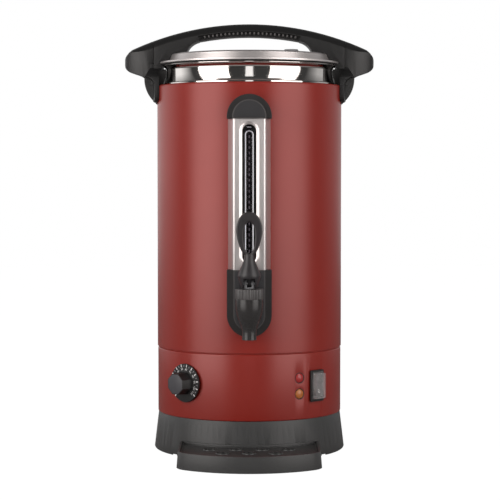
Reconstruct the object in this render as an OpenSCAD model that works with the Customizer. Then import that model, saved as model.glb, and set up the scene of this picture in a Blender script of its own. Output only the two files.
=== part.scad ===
// Hot water urn: a double-walled, electrically heated water urn with a lift-off
// twist-lock lid, a lever tap, a sight gauge and a pull-out drip tray.
// Millimetres. +Z is up, -Y is the front, +X is the right-hand side seen from the front.
// The origin is on the casing's axis, at the surface that the urn stands on.

/* [Base] */
// Height of the moulded base
base_h = 45; // [38:0.5:55]
// How far the base's foot stands out from the casing
base_flare = 7.2; // [4:0.1:14]
// Wall of the moulded base
base_wall = 3; // [2:0.1:4]
// Width of the ring that closes the base underneath
base_ring_w = 17; // [15:0.5:20]
// Thickness of that ring
base_ring_t = 4; // [3.5:0.1:6]
// Radius of each anti-slip pad
pad_r = 6.5; // [5:0.1:7]
// Depth of the pocket that each pad fills
pad_t = 2; // [1:0.1:2.5]
// Thickness of the steel bottom plate
plate_t = 1.2; // [0.8:0.1:2]

/* [Casing] */
// Radius of the upper casing
casing_r = 110; // [107:0.5:113]
// Sheet thickness of the casing and skirt
sheet_t = 1; // [0.6:0.1:1.4]
// How much the skirt is set in from the casing
skirt_inset = 0.5; // [0.2:0.1:1]
// Height of the lower skirt
skirt_h = 77; // [72:0.5:90]
// Open seam between the skirt and the upper casing
seam_gap = 1.6; // [1:0.1:2.5]
// Height of the upper casing
casing_h = 310; // [300:1:340]
// Rounding of the casing's shoulder
shoulder_r = 2.4; // [1.5:0.1:3.5]

/* [Tank] */
// Space between the tank and the casing
jacket_gap = 13; // [12:0.5:20]
// Wall of the inner tank
tank_wall = 1; // [0.6:0.1:1.5]
// Height of the tank floor's underside above the seam
tank_floor_rise = 34; // [30:0.5:40]
// Height of the polished neck collar
collar_h = 22.1; // [21:0.1:26]
// How far the collar's waist stands out from the tank
collar_stand = 1.8; // [1.6:0.1:2.4]
// How far the tank's rim rolls out
rim_roll = 7; // [6.5:0.1:7.2]
// Thickness of the tank's rolled rim
rim_t = 1.6; // [1.2:0.1:2]

/* [Lid] */
// Thickness of the lid's silicone seal
seal_t = 1.8; // [1.4:0.1:2.4]
// How far the lid's flange overhangs the tank's rim
lid_over = 3.2; // [2:0.1:4]
// Width of the lid's flange
flange_w = 10.7; // [9:0.1:13]
// Height of the lid's raised middle above the flange
dome_h = 12.6; // [11:0.1:15]
// Sheet thickness of the lid
lid_t = 1; // [0.7:0.1:1.3]
// Radius of the steam vent's cap
vent_r = 9; // [7:0.1:11]

/* [Carrying bow] */
// Highest point of the bow above the lid's flange
bow_rise = 47.9; // [46:0.1:52]
// Radius of the bow's ridge, seen from the front
bow_r = 334.5; // [320:0.5:350]
// Half the depth of the bow, front to back
bow_w = 18; // [15:0.5:20]
// Height of the bow's grip
grip_t = 15.3; // [13:0.1:17]
// Radius of the crown's cross-section
crown_r = 22.8; // [21:0.1:26]
// Half the width of the hand opening
hand_w = 75.5; // [70:0.5:80]
// Rounding of the hand opening's corners
hand_corner = 20; // [14:0.5:24]
// Reach of each ear beyond the casing
ear_out = 38.7; // [34:0.1:42]
// Half the width of the saddle that each ear sits on the casing with
saddle_w = 29; // [24:0.5:32]
// Thickness of that saddle
saddle_t = 5; // [4.6:0.1:6]
// Length of the saddle below the casing's shoulder
saddle_drop = 20; // [18:0.5:26]

/* [Sight gauge] */
// Half the width of the gauge cover at the casing
gauge_w = 23.4; // [21:0.1:25]
// Half the width of the gauge cover's front face
gauge_face_w = 17; // [15:0.1:18]
// How far the gauge cover stands out from the casing
gauge_proud = 13.5; // [13:0.1:16]
// Distance from the casing's shoulder down to the gauge cover's top
gauge_head = 42.6; // [36:0.1:60]
// Radius of the bends along the gauge cover
gauge_bend_r = 3; // [1.5:0.1:4]
// Half the width of the gauge's window
window_w = 7.6; // [6.5:0.1:8.5]
// Sheet thickness of the gauge cover
gauge_t = 0.8; // [0.6:0.1:1]
// Outer radius of the sight glass
glass_r = 4; // [3.4:0.1:4]
// Wall of the sight glass
glass_wall = 1.2; // [0.8:0.1:1.5]
// Half the width of the end caps
cap_w = 25.5; // [25.2:0.1:27]

/* [Tap] */
// Height of the tap's inlet above the seam
tap_rise = 57.4; // [55:0.1:62]
// Distance of the spout's axis from the casing
tap_reach = 40; // [36:0.5:44]
// Radius of the tap's body
tap_r = 15.3; // [14.5:0.1:16]
// Outer radius of the spout
spout_r = 8; // [7.2:0.1:8.6]
// Radius of the spout's bore
spout_bore_r = 5.5; // [4.5:0.1:6]
// Radius of the inlet shank
shank_r = 7.6; // [7:0.1:7.7]
// Radius of the bonnet nut
bonnet_r = 16; // [15.6:0.1:17]
// Radius of the valve stem
stem_r = 3.8; // [3:0.1:4.2]
// Radius of the lever's hub where it is widest
hub_r = 12.3; // [11:0.1:13]
// Half the width of the lever's loop, to the middle of its bar
loop_w = 10.1; // [9:0.1:11]
// Radius of the lever's pin
pin_r = 1.5; // [1.2:0.1:1.8]

/* [Control panel] */
// Height of the panel's centre line above the base
panel_rise = 41.5; // [36:0.5:46]
// Angle of the thermostat dial from the front
dial_angle = -42; // [-50:1:-38]
// Radius of the thermostat dial
dial_r = 22.3; // [20:0.1:24]
// Depth of the dial's grip
grip_depth = 15; // [12:0.5:18]
// Radius of the dial's spindle
spindle_r = 3; // [2.5:0.1:3.5]
// Angle of the indicator lamps from the front
lamp_angle = 32; // [29:0.5:33]
// Distance between the two lamps
lamp_pitch = 18.4; // [17:0.1:24]
// Radius of each lamp's hole
lamp_hole_r = 6.5; // [5.5:0.1:7]
// Angle of the rocker switch from the front
switch_angle = 45; // [44.5:0.5:52]
// Width of the rocker switch's bezel
switch_w = 21.5; // [20:0.1:23]
// Height of the rocker switch's bezel
switch_h = 36.5; // [35:0.1:40]

/* [Drip tray] */
// How far the base stands out past the drip tray on each side
tray_inset = 37.2; // [32:0.1:44]
// How far the tray reaches in front of the base
tray_out = 81.8; // [74:0.1:95]
// How much wider the tray is at its foot than at its rim, on each side
tray_draft = 1.5; // [0:0.1:2.5]
// Height of the tray's rim
tray_h = 19; // [17:0.1:22]
// Wall of the tray
tray_wall = 2.4; // [1.8:0.1:3]
// Rounding of the tray's front corners
tray_corner = 24; // [18:0.5:30]
// Radius of the drain holes
drain_r = 6.8; // [5:0.1:8]

/* [Power inlet] */
// Width of the power inlet's flange
inlet_w = 25; // [24:0.5:28]
// Height of the power inlet's flange
inlet_h = 50; // [48:0.5:54]

/* [Hidden] */
$fn = 96;

eps = 0.01;          // overlap that makes cuts clean
fit = 0.05;          // radial clearance of a running fit
slip = 0.4;          // gap between pieces that move past each other

// Radii of the round pieces, from the casing inwards and outwards
tank_r = casing_r - jacket_gap;
waist_r = tank_r + collar_stand;
rim_r = tank_r + rim_roll;
lid_r = rim_r + lid_over;
dome_r = lid_r - flange_w;
skirt_r = casing_r - skirt_inset;
base_top_r = skirt_r - 0.8;
base_foot_r = casing_r + base_flare;

// Heights of the joints between the main pieces
skirt_top = base_h + skirt_h;
casing_bottom = skirt_top + seam_gap;
casing_top = casing_bottom + casing_h;
collar_top = casing_top + collar_h;
rim_top = collar_top + rim_t;
flange_z = rim_top + seal_t;
tank_floor = skirt_top + tank_floor_rise;
panel_z = base_h + panel_rise;

// Base
base_edge_r = 3;
plate_r = base_foot_r - base_wall - 3.5;
plate_z = base_ring_t;
ring_mid_r = base_foot_r - base_ring_w / 2 - 1;
screw_r = 2;
screw_head_r = 3.6;
screw_head_h = 2.2;
notch_x = base_foot_r - 27.7; // where the two small drain notches are in the base's rim
ledge_in = 9;        // ledge inside the base's top that carries the skirt
notch_w = 5;

// Tray tongues that slip into the base
tongue_x = 42;
tongue_w = 16;
tongue_t = 3;
tongue_z = plate_z + plate_t + slip;
tongue_in = 14;

// Lid
flange_bead = 1.8;
dome_side_in = 2.4;
dome_edge_r = 3;
dome_crown = 1.2;
vent_x = 49.8;
vent_y = -8;
vent_t = 2.2;

// Bow: circles about an axis parallel to Y
bow_top = flange_z + bow_rise;
bow_cz = bow_top - bow_r;
seam_r = norm([lid_r + 6, bow_w]);
ear_reach = casing_r + ear_out;
jaw_r = rim_r + 0.6;
jaw_drop = 6;
jaw_z = flange_z - jaw_drop;
ear_tip_start = casing_r + 7;
ear_tip_r = 11;
ear_side_r = (pow(ear_reach - ear_tip_r - ear_tip_start, 2) + pow(bow_w, 2) - pow(ear_tip_r, 2))
    / (2 * (bow_w - ear_tip_r));
ear_pad_top = jaw_z - 0.6;
tongue_slot_h = 6.2;
tongue_slot_in = 4.6;

// Sight gauge
gauge_bottom = casing_bottom + 96.1;
gauge_top = casing_top - gauge_head;
gauge_l = gauge_top - gauge_bottom;
gauge_face_y = -(casing_r + gauge_proud);
gauge_lean = atan2(gauge_w - gauge_face_w, gauge_proud + 4);
window_end = 7;
glass_y = -(casing_r + 6.2);
cap_proud = gauge_proud + 1.5;
cap_wall = 2;
seat_clear = 0.3;    // gap behind the flat-backed pieces that lie on the round casing

// Tap
tap_z = casing_bottom + tap_rise;
tap_y = -(casing_r + tap_reach);
seat_z = tap_z - 13;
spout_z = tap_z - 38;
bonnet_z = tap_z + 7.8;
bonnet_h = 11.2;
bonnet_top = bonnet_z + bonnet_h;
bonnet_plate = 2.4;
chamber_r = 10.6;
neck_r = 12.4;
shank_bore_r = shank_r - 2.2;
tap_flange_r = 13;
tap_flange_t = 3;
locknut_r = 14;
pin_z = bonnet_top + 6;
fork_in = 2.6;
fork_t = 3;
fork_d = 8;
hub_bottom_r = 8.5;
loop_z = bonnet_top + 57;
loop_bar = 4.2;
loop_depth = 4.4;
loop_h = 23.5;
cup_h = 7;
cup_r = 8.2;
spring_r = 6.4;
spring_wire = 0.7;
spring_turns = 5;

// Control panel
dial_lift = 0.6;
dial_t = 2.4;
octagon_r = 13.6;
thermostat_size = 36;
thermostat_depth = 26;
lens_r = 5.6;
rocker_w = 12.6;
rocker_l = 26;
rocker_tilt = 10;
rocker_pivot = -3;
boot_h = 8.6;

// Tray
tray_z = 0.5;
tray_w = base_foot_r - tray_inset;
tray_reach = base_foot_r + tray_out;
tray_back = base_foot_r - 35.2;
tray_bow_r = 420;
tray_floor = 2.2;
ledge_w = 4;
grid_t = 2;
grid_z = tray_h - 5;
drain_pitch = 29.5;
drain_rows = [[-tray_reach + 34, [-1, 0, 1]], [-tray_reach + 66, [-1.5, -0.5, 0.5, 1.5]]];
drain_lip = 1.6;     // raised ring round each drain hole
grid_rib = 2;        // raised border round the grid
grid_rib_h = 0.8;

black = [0.09, 0.09, 0.10];
charcoal = [0.20, 0.20, 0.21];
maroon = [0.50, 0.17, 0.14];
steel = [0.80, 0.80, 0.81];

// ---------------------------------------------------------------- shared shapes

// Places a piece on the control panel: local Z points out of a drum of radius r
module panel(angle, z, r) {
    rotate([0, 0, angle]) translate([0, -r, z]) rotate([90, 0, 0]) children();
}

// Stands a flat outline up, facing the front, with half its depth on each side of the axis
module stand_up(half_depth) {
    translate([0, half_depth, 0]) rotate([90, 0, 0]) linear_extrude(2 * half_depth) children();
}

// Rectangle with round corners, about the origin
module round_rect(w, h, r) {
    square([w - 2 * r, h], center = true);
    square([w, h - 2 * r], center = true);
    for (sx = [-1, 1], sy = [-1, 1]) translate([sx * (w / 2 - r), sy * (h / 2 - r)]) circle(r);
}

// Upright slot with round ends, from z0 to z1
module slot_outline(w, z0, z1) {
    translate([-w, z0 + w]) square([2 * w, z1 - z0 - 2 * w]);
    translate([0, z0 + w]) circle(w);
    translate([0, z1 - w]) circle(w);
}

// Ring of square section
module ring(r_out, r_in, h) {
    difference() {
        cylinder(r = r_out, h = h);
        translate([0, 0, -eps]) cylinder(r = r_in, h = h + 2 * eps);
    }
}

// Pan-head screw that points along -Z, its head's underside at z = 0
module screw(length) {
    cylinder(r = screw_head_r, h = screw_head_h);
    translate([0, 0, -length]) cylinder(r = screw_r, h = length + eps);
}

// Points of an arc
function arc(cx, cy, r, a0, a1, n) =
    [for (i = [0:n]) let (a = a0 + (a1 - a0) * i / n) [cx + r * cos(a), cy + r * sin(a)]];

// Smooth curve through points, with n steps between each two
function curve(p, n = 4) = concat(
    [for (i = [0:len(p) - 2]) let (a = p[max(i - 1, 0)], b = p[i], c = p[i + 1],
        d = p[min(i + 2, len(p) - 1)]) for (k = [0:n - 1]) let (t = k / n)
        0.5 * (2 * b + (c - a) * t + (2 * a - 5 * b + 4 * c - d) * t * t
            + (3 * b - a - 3 * c + d) * t * t * t)],
    [p[len(p) - 1]]);

// The same points in the other order, moved by dr and dz
function turned(points, dr, dz) = [for (i = [len(points) - 1:-1:0]) points[i] + [dr, dz]];

// Solid swept through closed rings of points
module swept(rings) {
    sides = len(rings[0]);
    count = len(rings);
    polyhedron(
        points = [for (ring_points = rings) each ring_points],
        faces = concat(
            [[for (j = [sides - 1:-1:0]) j]],
            [for (i = [0:count - 2], j = [0:sides - 1])
                [i * sides + j, i * sides + (j + 1) % sides,
                 (i + 1) * sides + (j + 1) % sides, (i + 1) * sides + j]],
            [[for (j = [0:sides - 1]) (count - 1) * sides + j]]));
}

// ---------------------------------------------------------------- base

function base_r_at(z) = base_foot_r + (base_top_r - base_foot_r) * z / base_h;

module base_solid(clear = 0) {
    rotate_extrude() polygon(concat(
        [[0, 0]],
        arc(base_foot_r - base_edge_r + clear, base_edge_r, base_edge_r, -90, -8, 6),
        [[base_top_r + clear, base_h], [0, base_h]]));
}

module pad_places() {
    for (a = [45:90:315]) rotate([0, 0, a]) translate([ring_mid_r, 0, 0]) children();
}

module base_screw_places() {
    for (a = [0:90:270]) rotate([0, 0, a]) translate([ring_mid_r - 2, 0, 0]) children();
}

module base_shell() {
    color(charcoal) difference() {
        base_solid();
        // Hollow inside, with a ring left underneath and a ledge at the top
        translate([0, 0, base_ring_t]) cylinder(
            r1 = base_r_at(base_ring_t) - base_wall, r2 = base_top_r - base_wall,
            h = base_h - base_ring_t - base_wall);
        translate([0, 0, -eps]) cylinder(r = base_foot_r - base_ring_w, h = base_ring_t + 2 * eps);
        translate([0, 0, base_ring_t]) cylinder(r = base_top_r - ledge_in, h = base_h);
        pad_places() translate([0, 0, -eps]) cylinder(r = pad_r + fit, h = pad_t + eps);
        base_screw_places() {
            translate([0, 0, -eps]) cylinder(r = screw_head_r + 0.3, h = screw_head_h + 0.6 + eps);
            cylinder(r = screw_r + 0.2, h = base_ring_t + 1);
        }
        // Slots for the tray's tongues
        for (s = [-1, 1]) translate([s * tongue_x - tongue_w / 2 - slip, -base_foot_r - 1,
            tongue_z - slip]) cube([tongue_w + 2 * slip, base_foot_r / 2, tongue_t + 2 * slip]);
        // Small drain notches in the bottom edge
        for (s = [-1, 1]) translate([s * notch_x - notch_w / 2, -base_foot_r, -eps])
            cube([notch_w, base_foot_r / 2, 2]);
    }
}

module base_plate() {
    color(steel) difference() {
        translate([0, 0, plate_z]) cylinder(r = plate_r, h = plate_t);
        base_screw_places() translate([0, 0, plate_z - 1]) cylinder(r = screw_r + fit, h = 4);
        // Air slots
        for (x = [-45:15:45]) translate([x - 2, 20, plate_z - 1]) cube([4, 40, 4]);
    }
}

module rubber_pads() {
    color(black) pad_places() cylinder(r = pad_r, h = pad_t);
}

module base_screws() {
    color(steel) base_screw_places() translate([0, 0, screw_head_h + 0.6])
        mirror([0, 0, 1]) screw(9);
}

// ---------------------------------------------------------------- casing

// Cut-outs of the control panel and of the inlet, as through pieces
module panel_cutouts() {
    panel(dial_angle, panel_z, skirt_r) translate([0, 0, -8]) cylinder(r = 5.2, h = 16);
    for (s = [-1, 1]) panel(lamp_angle, panel_z - 2.4 + s * lamp_pitch / 2, skirt_r)
        translate([0, 0, -8]) cylinder(r = lamp_hole_r, h = 16);
    panel(switch_angle, panel_z - 3.5, skirt_r)
        cube([switch_w - 3, switch_h - 3.4, 16], center = true);
    panel(180, panel_z, skirt_r) cube([inlet_w - 4, inlet_h - 18, 16], center = true);
    for (s = [-1, 1]) panel(180, panel_z + s * (inlet_h / 2 - 5), skirt_r)
        translate([0, 0, -8]) cylinder(r = screw_r + fit, h = 16);
}

module lower_skirt() {
    neck = casing_r - sheet_t - 0.3;
    color(maroon) difference() {
        rotate_extrude() polygon(concat(
            [[skirt_r - 7, base_h]],
            arc(skirt_r - 1.4, base_h + 1.4, 1.4, -90, 0, 4),
            arc(skirt_r - 1.4, skirt_top - 1.4, 1.4, 0, 90, 4),
            [[neck, skirt_top], [neck, skirt_top + 9], [neck - sheet_t, skirt_top + 9],
             [neck - sheet_t, skirt_top - sheet_t], [skirt_r - sheet_t, skirt_top - sheet_t - 0.4],
             [skirt_r - sheet_t, base_h + sheet_t], [skirt_r - 7, base_h + sheet_t]]));
        panel_cutouts();
    }
}

module outer_casing() {
    color(maroon) difference() {
        rotate_extrude() polygon(concat(
            [[casing_r, casing_bottom]],
            arc(casing_r - shoulder_r, casing_top - shoulder_r, shoulder_r, 0, 90, 6),
            [[waist_r - 0.6, casing_top], [waist_r - 0.6, casing_top - sheet_t]],
            arc(casing_r - shoulder_r, casing_top - shoulder_r, shoulder_r - sheet_t, 90, 0, 6),
            [[casing_r - sheet_t, casing_bottom]]));
        // Holes for the tap's shank, the gauge's vent and the ears' screws
        translate([0, -casing_r + 8, tap_z]) rotate([90, 0, 0]) cylinder(r = shank_r + 0.3, h = 16);
        translate([0, -casing_r + 8, gauge_top + 7]) rotate([90, 0, 0]) cylinder(r = 4.3, h = 16);
        ear_screw_places() translate([0, 0, -8]) cylinder(r = screw_r + 0.2, h = 16);
    }
}

collar_foot_r = waist_r + 3.7;

function collar_outline() = concat(
    [[collar_foot_r, casing_top], [collar_foot_r, casing_top + 1.6]],
    [for (i = [0:8]) let (t = i / 8)
        [waist_r + 2.9 * pow(1 - t, 2), casing_top + 2.6 + (collar_h - 8.6) * t]],
    [for (i = [0:6]) let (t = i / 6)
        [waist_r + (rim_r - 0.6 - waist_r) * pow(t, 2), collar_top - 4.4 + 4.4 * t]]);

// The room that the collar takes, grown sideways by clear
module collar_space(clear) {
    rotate_extrude() polygon(concat(
        [[0, casing_top - 1], [collar_foot_r + clear, casing_top - 1]],
        [for (p = collar_outline()) p + [clear, 0]], [[0, collar_top]]));
}

module neck_collar() {
    color(steel) rotate_extrude() polygon(
        concat(collar_outline(), turned(collar_outline(), -1.1, 0)));
}

module inner_tank() {
    color(steel) difference() {
        rotate_extrude() polygon(concat(
            [[0, tank_floor]],
            arc(tank_r - 6, tank_floor + 6, 6, -90, 0, 6),
            [[tank_r, collar_top]],
            arc(rim_r - rim_t / 2, collar_top + rim_t / 2, rim_t / 2, -90, 90, 6),
            [[tank_r - tank_wall, rim_top]],
            arc(tank_r - 6, tank_floor + 6, 6 - tank_wall, 0, -90, 6),
            [[0, tank_floor + tank_wall]]));
        translate([0, -tank_r + 12, tap_z]) rotate([90, 0, 0]) cylinder(r = shank_r + fit, h = 20);
        translate([0, -tank_r + 12, gauge_top + 7]) rotate([90, 0, 0]) cylinder(r = 4 + fit, h = 20);
    }
}

// ---------------------------------------------------------------- heater and electrics

element_plate_t = 4;
element_plate_r = tank_r - 17;
element_r = tank_r - 37;
phial_r = 3;
phial_y = -22;
phial_z = tank_floor - element_plate_t - phial_r - 1.2;

module heating_element() {
    color([0.66, 0.66, 0.68]) difference() {
        union() {
            translate([0, 0, tank_floor - element_plate_t]) cylinder(r = element_plate_r, h = element_plate_t);
            translate([0, 0, tank_floor - element_plate_t - 3]) rotate([0, 0, 100])
                rotate_extrude(angle = 340) translate([element_r, 0]) circle(4);
            for (s = [-1, 1]) rotate([0, 0, 90 + s * 10]) translate([element_r, 0,
                tank_floor - element_plate_t - 20]) cylinder(r = 3, h = 18);
            translate([-30, phial_y - 6, phial_z - phial_r - 1.5])
                cube([60, 12, 2 * phial_r + 3.2]);
        }
        translate([-31, phial_y, phial_z]) rotate([0, 90, 0]) cylinder(r = phial_r + fit, h = 62);
    }
}

module thermal_cutout() {
    z = tank_floor - element_plate_t;
    color(black) {
        translate([0, 22, z - 7]) cylinder(r = 8, h = 7);
        for (s = [-1, 1]) translate([s * 4 - 0.4, 19, z - 14]) cube([0.8, 6, 8]);
    }
}

module thermostat_body() {
    front = -sheet_t - 0.3;
    color([0.75, 0.74, 0.70]) panel(dial_angle, panel_z, skirt_r) difference() {
        union() {
            translate([-thermostat_size / 2, -thermostat_size / 2, front - 1.8 - thermostat_depth])
                cube([thermostat_size, thermostat_size, thermostat_depth]);
            translate([0, 0, front - 2]) cylinder(r = 8, h = 1.7);
            translate([0, 0, front - 2]) cylinder(r = 5, h = dial_lift - 0.2 - front + 2);
        }
        translate([0, 0, front - 13]) cylinder(r = spindle_r + fit, h = 30);
    }
}

// Sensor phial in the heater's pocket, and its capillary down to the thermostat
capillary_r = 0.9;

module rod(a, b, r) {
    d = b - a;
    translate(a) rotate([0, acos(d[2] / norm(d)), atan2(d[1], d[0])]) cylinder(r = r, h = norm(d));
}

module thermostat_sensor() {
    depth = skirt_r - sheet_t - 1.3 - thermostat_depth / 2;
    end = [sin(dial_angle) * depth, -cos(dial_angle) * depth, panel_z + thermostat_size / 2];
    bend = [-38, phial_y, phial_z - 10];
    above = [end[0], end[1], bend[2]];
    color([0.72, 0.45, 0.30]) {
        translate([-34, phial_y, phial_z]) rotate([0, 90, 0]) cylinder(r = phial_r, h = 60);
        rod([-33, phial_y, phial_z], bend, capillary_r);
        translate(bend) sphere(capillary_r + 0.2);
        rod(bend, above, capillary_r);
        translate(above) sphere(capillary_r + 0.2);
        rod(above, end, capillary_r);
    }
}

module terminal_block() {
    z = plate_z + plate_t;
    y = plate_r - 24.7;
    color([0.85, 0.85, 0.82]) difference() {
        translate([-24, y - 8, z]) cube([48, 16, 15]);
        for (i = [-1:1]) {
            translate([i * 15, y, z + 6]) rotate([90, 0, 0]) cylinder(r = 2.6, h = 20, center = true);
            translate([i * 15, y, z + 6]) cylinder(r = 2.4, h = 10);
        }
        for (i = [-0.5, 0.5]) translate([i * 15 - 1, y - 9, z + 9]) cube([2, 18, 7]);
    }
}

module lamp_places() {
    for (s = [-1, 1]) panel(lamp_angle, panel_z - 2.4 + s * lamp_pitch / 2, skirt_r) children();
}

module lamp_holders() {
    color(black) lamp_places() difference() {
        union() {
            translate([0, 0, -24]) cylinder(r = 5.2, h = 20);
            translate([0, 0, -4.4]) cylinder(r = 8, h = 2.6);
            translate([0, 0, -3]) cylinder(r = lamp_hole_r - 0.1, h = 2.6);
        }
        translate([0, 0, -3.4]) cylinder(r = lens_r + fit, h = 5);
    }
}

module lens(s) {
    panel(lamp_angle, panel_z - 2.4 + s * lamp_pitch / 2, skirt_r) rotate_extrude() polygon(concat(
        [[0, -3.4], [lens_r, -3.4], [lens_r, -1]],
        [for (i = [1:6]) [lens_r * cos(i * 15), -1 + 2.6 * sin(i * 15)]]));
}

module red_lens() {
    color([0.75, 0.10, 0.10]) lens(1);
}

module amber_lens() {
    color([0.85, 0.50, 0.10]) lens(-1);
}

switch_cut_w = switch_w - 3.6;
switch_cut_h = switch_h - 4;

module switch_housing() {
    color(black) panel(switch_angle, panel_z - 3.5, skirt_r) difference() {
        union() {
            translate([0, 0, 0.1]) linear_extrude(2.5) round_rect(switch_w, switch_h, 1.5);
            translate([0, 0, -20]) linear_extrude(20.2) square([switch_cut_w, switch_cut_h], center = true);
            for (y = [-9, 0, 9]) translate([-3.2, y - 0.4, -29]) cube([6.4, 0.8, 10]);
        }
        translate([0, 0, -9]) linear_extrude(20) square([rocker_w + 0.8, rocker_l + 2.8], center = true);
    }
}

module switch_rocker() {
    color(black) panel(switch_angle, panel_z - 3.5, skirt_r) translate([0, 0, rocker_pivot])
        rotate([-rocker_tilt, 0, 0]) {
            translate([-rocker_w / 2, 0, 0]) rotate([90, 0, 90]) linear_extrude(rocker_w)
                polygon([[-rocker_l / 2 + 1, -1], [rocker_l / 2 - 1, -1], [rocker_l / 2, 7],
                         [0, 5.4], [-rocker_l / 2, 7]]);
            translate([-rocker_w / 2, 0, 0]) rotate([0, 90, 0]) cylinder(r = 2.4, h = rocker_w);
        }
}

module switch_boot() {
    w = switch_w - 4.4;
    h = switch_h - 5;
    color([0.75, 0.75, 0.75, 0.4]) panel(switch_angle, panel_z - 3.5, skirt_r) difference() {
        union() {
            translate([0, 0, 2.6]) linear_extrude(1) round_rect(w, h, 2);
            translate([0, 0, 3.5]) linear_extrude(boot_h - 3.5) round_rect(w - 1.2, h - 1.6, 2);
        }
        translate([0, 0, 2]) linear_extrude(boot_h - 2.8) round_rect(w - 2.6, h - 3, 1.6);
    }
}

module power_inlet() {
    color(black) panel(180, panel_z, skirt_r) difference() {
        union() {
            translate([0, 0, 0.1]) linear_extrude(3) round_rect(inlet_w, inlet_h, 4);
            translate([0, 0, -20]) linear_extrude(20.2) square([inlet_w - 5, inlet_h - 19], center = true);
            for (y = [-7, 0, 7]) translate([-1, y - 1, -26]) cube([2, 2, 7]);
        }
        difference() {
            translate([0, 0, -15]) linear_extrude(20) round_rect(inlet_w - 8.6, 24.6, 3);
            for (p = [[-3, -7], [3, 0], [-3, 7]]) translate([p[0], p[1], -15.1])
                translate([-2.1, -1.1, 0]) cube([4.2, 2.2, 13]);
        }
        for (s = [-1, 1]) translate([0, s * (inlet_h / 2 - 5), -1]) cylinder(r = screw_r + fit, h = 6);
    }
}

module inlet_screws() {
    color(steel) for (s = [-1, 1]) panel(180, panel_z + s * (inlet_h / 2 - 5), skirt_r)
        translate([0, 0, 3.1]) screw(8);
}

// ---------------------------------------------------------------- sight gauge

// Plan of the gauge cover's skin, inset by d: a flat face, two bends and leaning sides
module gauge_plan(d) {
    bend_x = gauge_face_w - gauge_bend_r * tan(45 - gauge_lean / 2);
    bend_y = gauge_face_y + gauge_bend_r;
    side = [(gauge_bend_r - d) * cos(gauge_lean), -(gauge_bend_r - d) * sin(gauge_lean)];
    foot_x = gauge_w - d / cos(gauge_lean);
    polygon([[-foot_x, -casing_r + 4], [-bend_x - side[0], bend_y + side[1]], [-bend_x, bend_y],
        [-bend_x, gauge_face_y + d], [bend_x, gauge_face_y + d], [bend_x, bend_y],
        [bend_x + side[0], bend_y + side[1]], [foot_x, -casing_r + 4]]);
    for (s = [-1, 1]) translate([s * bend_x, bend_y]) circle(gauge_bend_r - d);
}

module gauge_cover() {
    z0 = gauge_bottom + window_end + 0.8;
    z1 = gauge_top - window_end + 0.6;
    color(steel) difference() {
        union() {
            translate([0, 0, gauge_bottom]) linear_extrude(gauge_l) gauge_plan(0);
            translate([0, gauge_face_y + eps, 0]) rotate([90, 0, 0]) linear_extrude(0.8)
                slot_outline(window_w + 3.2, z0 - 3.2, z1 + 3.2);
        }
        translate([0, 0, gauge_bottom - 1]) linear_extrude(gauge_l + 2) gauge_plan(gauge_t);
        translate([0, gauge_face_y + 4, 0]) rotate([90, 0, 0]) linear_extrude(8)
            slot_outline(window_w, z0, z1);
        translate([0, 0, gauge_bottom - 1]) cylinder(r = casing_r + seat_clear, h = gauge_l + 2);
    }
}

// Outline of an end cap: round at one end, square at the other, inset by d
module cap_outline(length, d) {
    translate([-cap_w + d, 0]) square([2 * (cap_w - d), length]);
    intersection() {
        translate([0, length]) circle(cap_w - d);
        translate([-cap_w, 0]) square([2 * cap_w, length + cap_w]);
    }
}

// Hollow end cap that lies on the casing; length is measured to the middle of its round end
module end_cap(length, face_in) {
    difference() {
        union() {
            rotate([90, 0, 0]) linear_extrude(casing_r + cap_proud - 3.5) cap_outline(length, 0);
            rotate([90, 0, 0]) linear_extrude(casing_r + cap_proud) cap_outline(length, face_in);
        }
        translate([0, 0, -1]) rotate([90, 0, 0]) linear_extrude(casing_r + cap_proud - 3.5 - cap_wall)
            cap_outline(length + 1, cap_wall);
        translate([0, 0, -1]) rotate([90, 0, 0]) linear_extrude(casing_r + cap_proud - cap_wall)
            cap_outline(length + 1, face_in + cap_wall);
        translate([0, 0, -200]) cylinder(r = casing_r + seat_clear, h = 400);
    }
}

top_cap_l = 2.4;
bottom_cap_l = gauge_bottom - tap_z + 12.5;

module gauge_top_cap() {
    color(charcoal) translate([0, 0, gauge_top]) end_cap(top_cap_l, 6.3);
}

module gauge_bottom_cap() {
    color(charcoal) difference() {
        translate([0, 0, gauge_bottom]) mirror([0, 0, 1]) end_cap(bottom_cap_l, 7.5);
        translate([0, 0, tap_z]) rotate([90, 0, 0]) cylinder(r = shank_r + 0.3, h = 200);
    }
}

module gauge_backing() {
    y = -(casing_r + seat_clear + 1.5);
    color(black) translate([-13, y, gauge_bottom + 1]) cube([26, 1.5, gauge_l - 6.5]);
}

seal_w = 1.2;
socket_r = glass_r + seal_w + 1;
glass_bottom = tap_z + 12;
glass_top = gauge_top + 2;

module sight_glass() {
    color([0.85, 0.92, 0.95, 0.4]) translate([0, glass_y, glass_bottom])
        ring(glass_r, glass_r - glass_wall, glass_top - glass_bottom);
}

module glass_seals() {
    color([0.7, 0.7, 0.68]) for (z = [glass_bottom + 5, glass_top - 5])
        translate([0, glass_y, z]) ring(glass_r + seal_w, glass_r + fit, 2);
}

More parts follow.
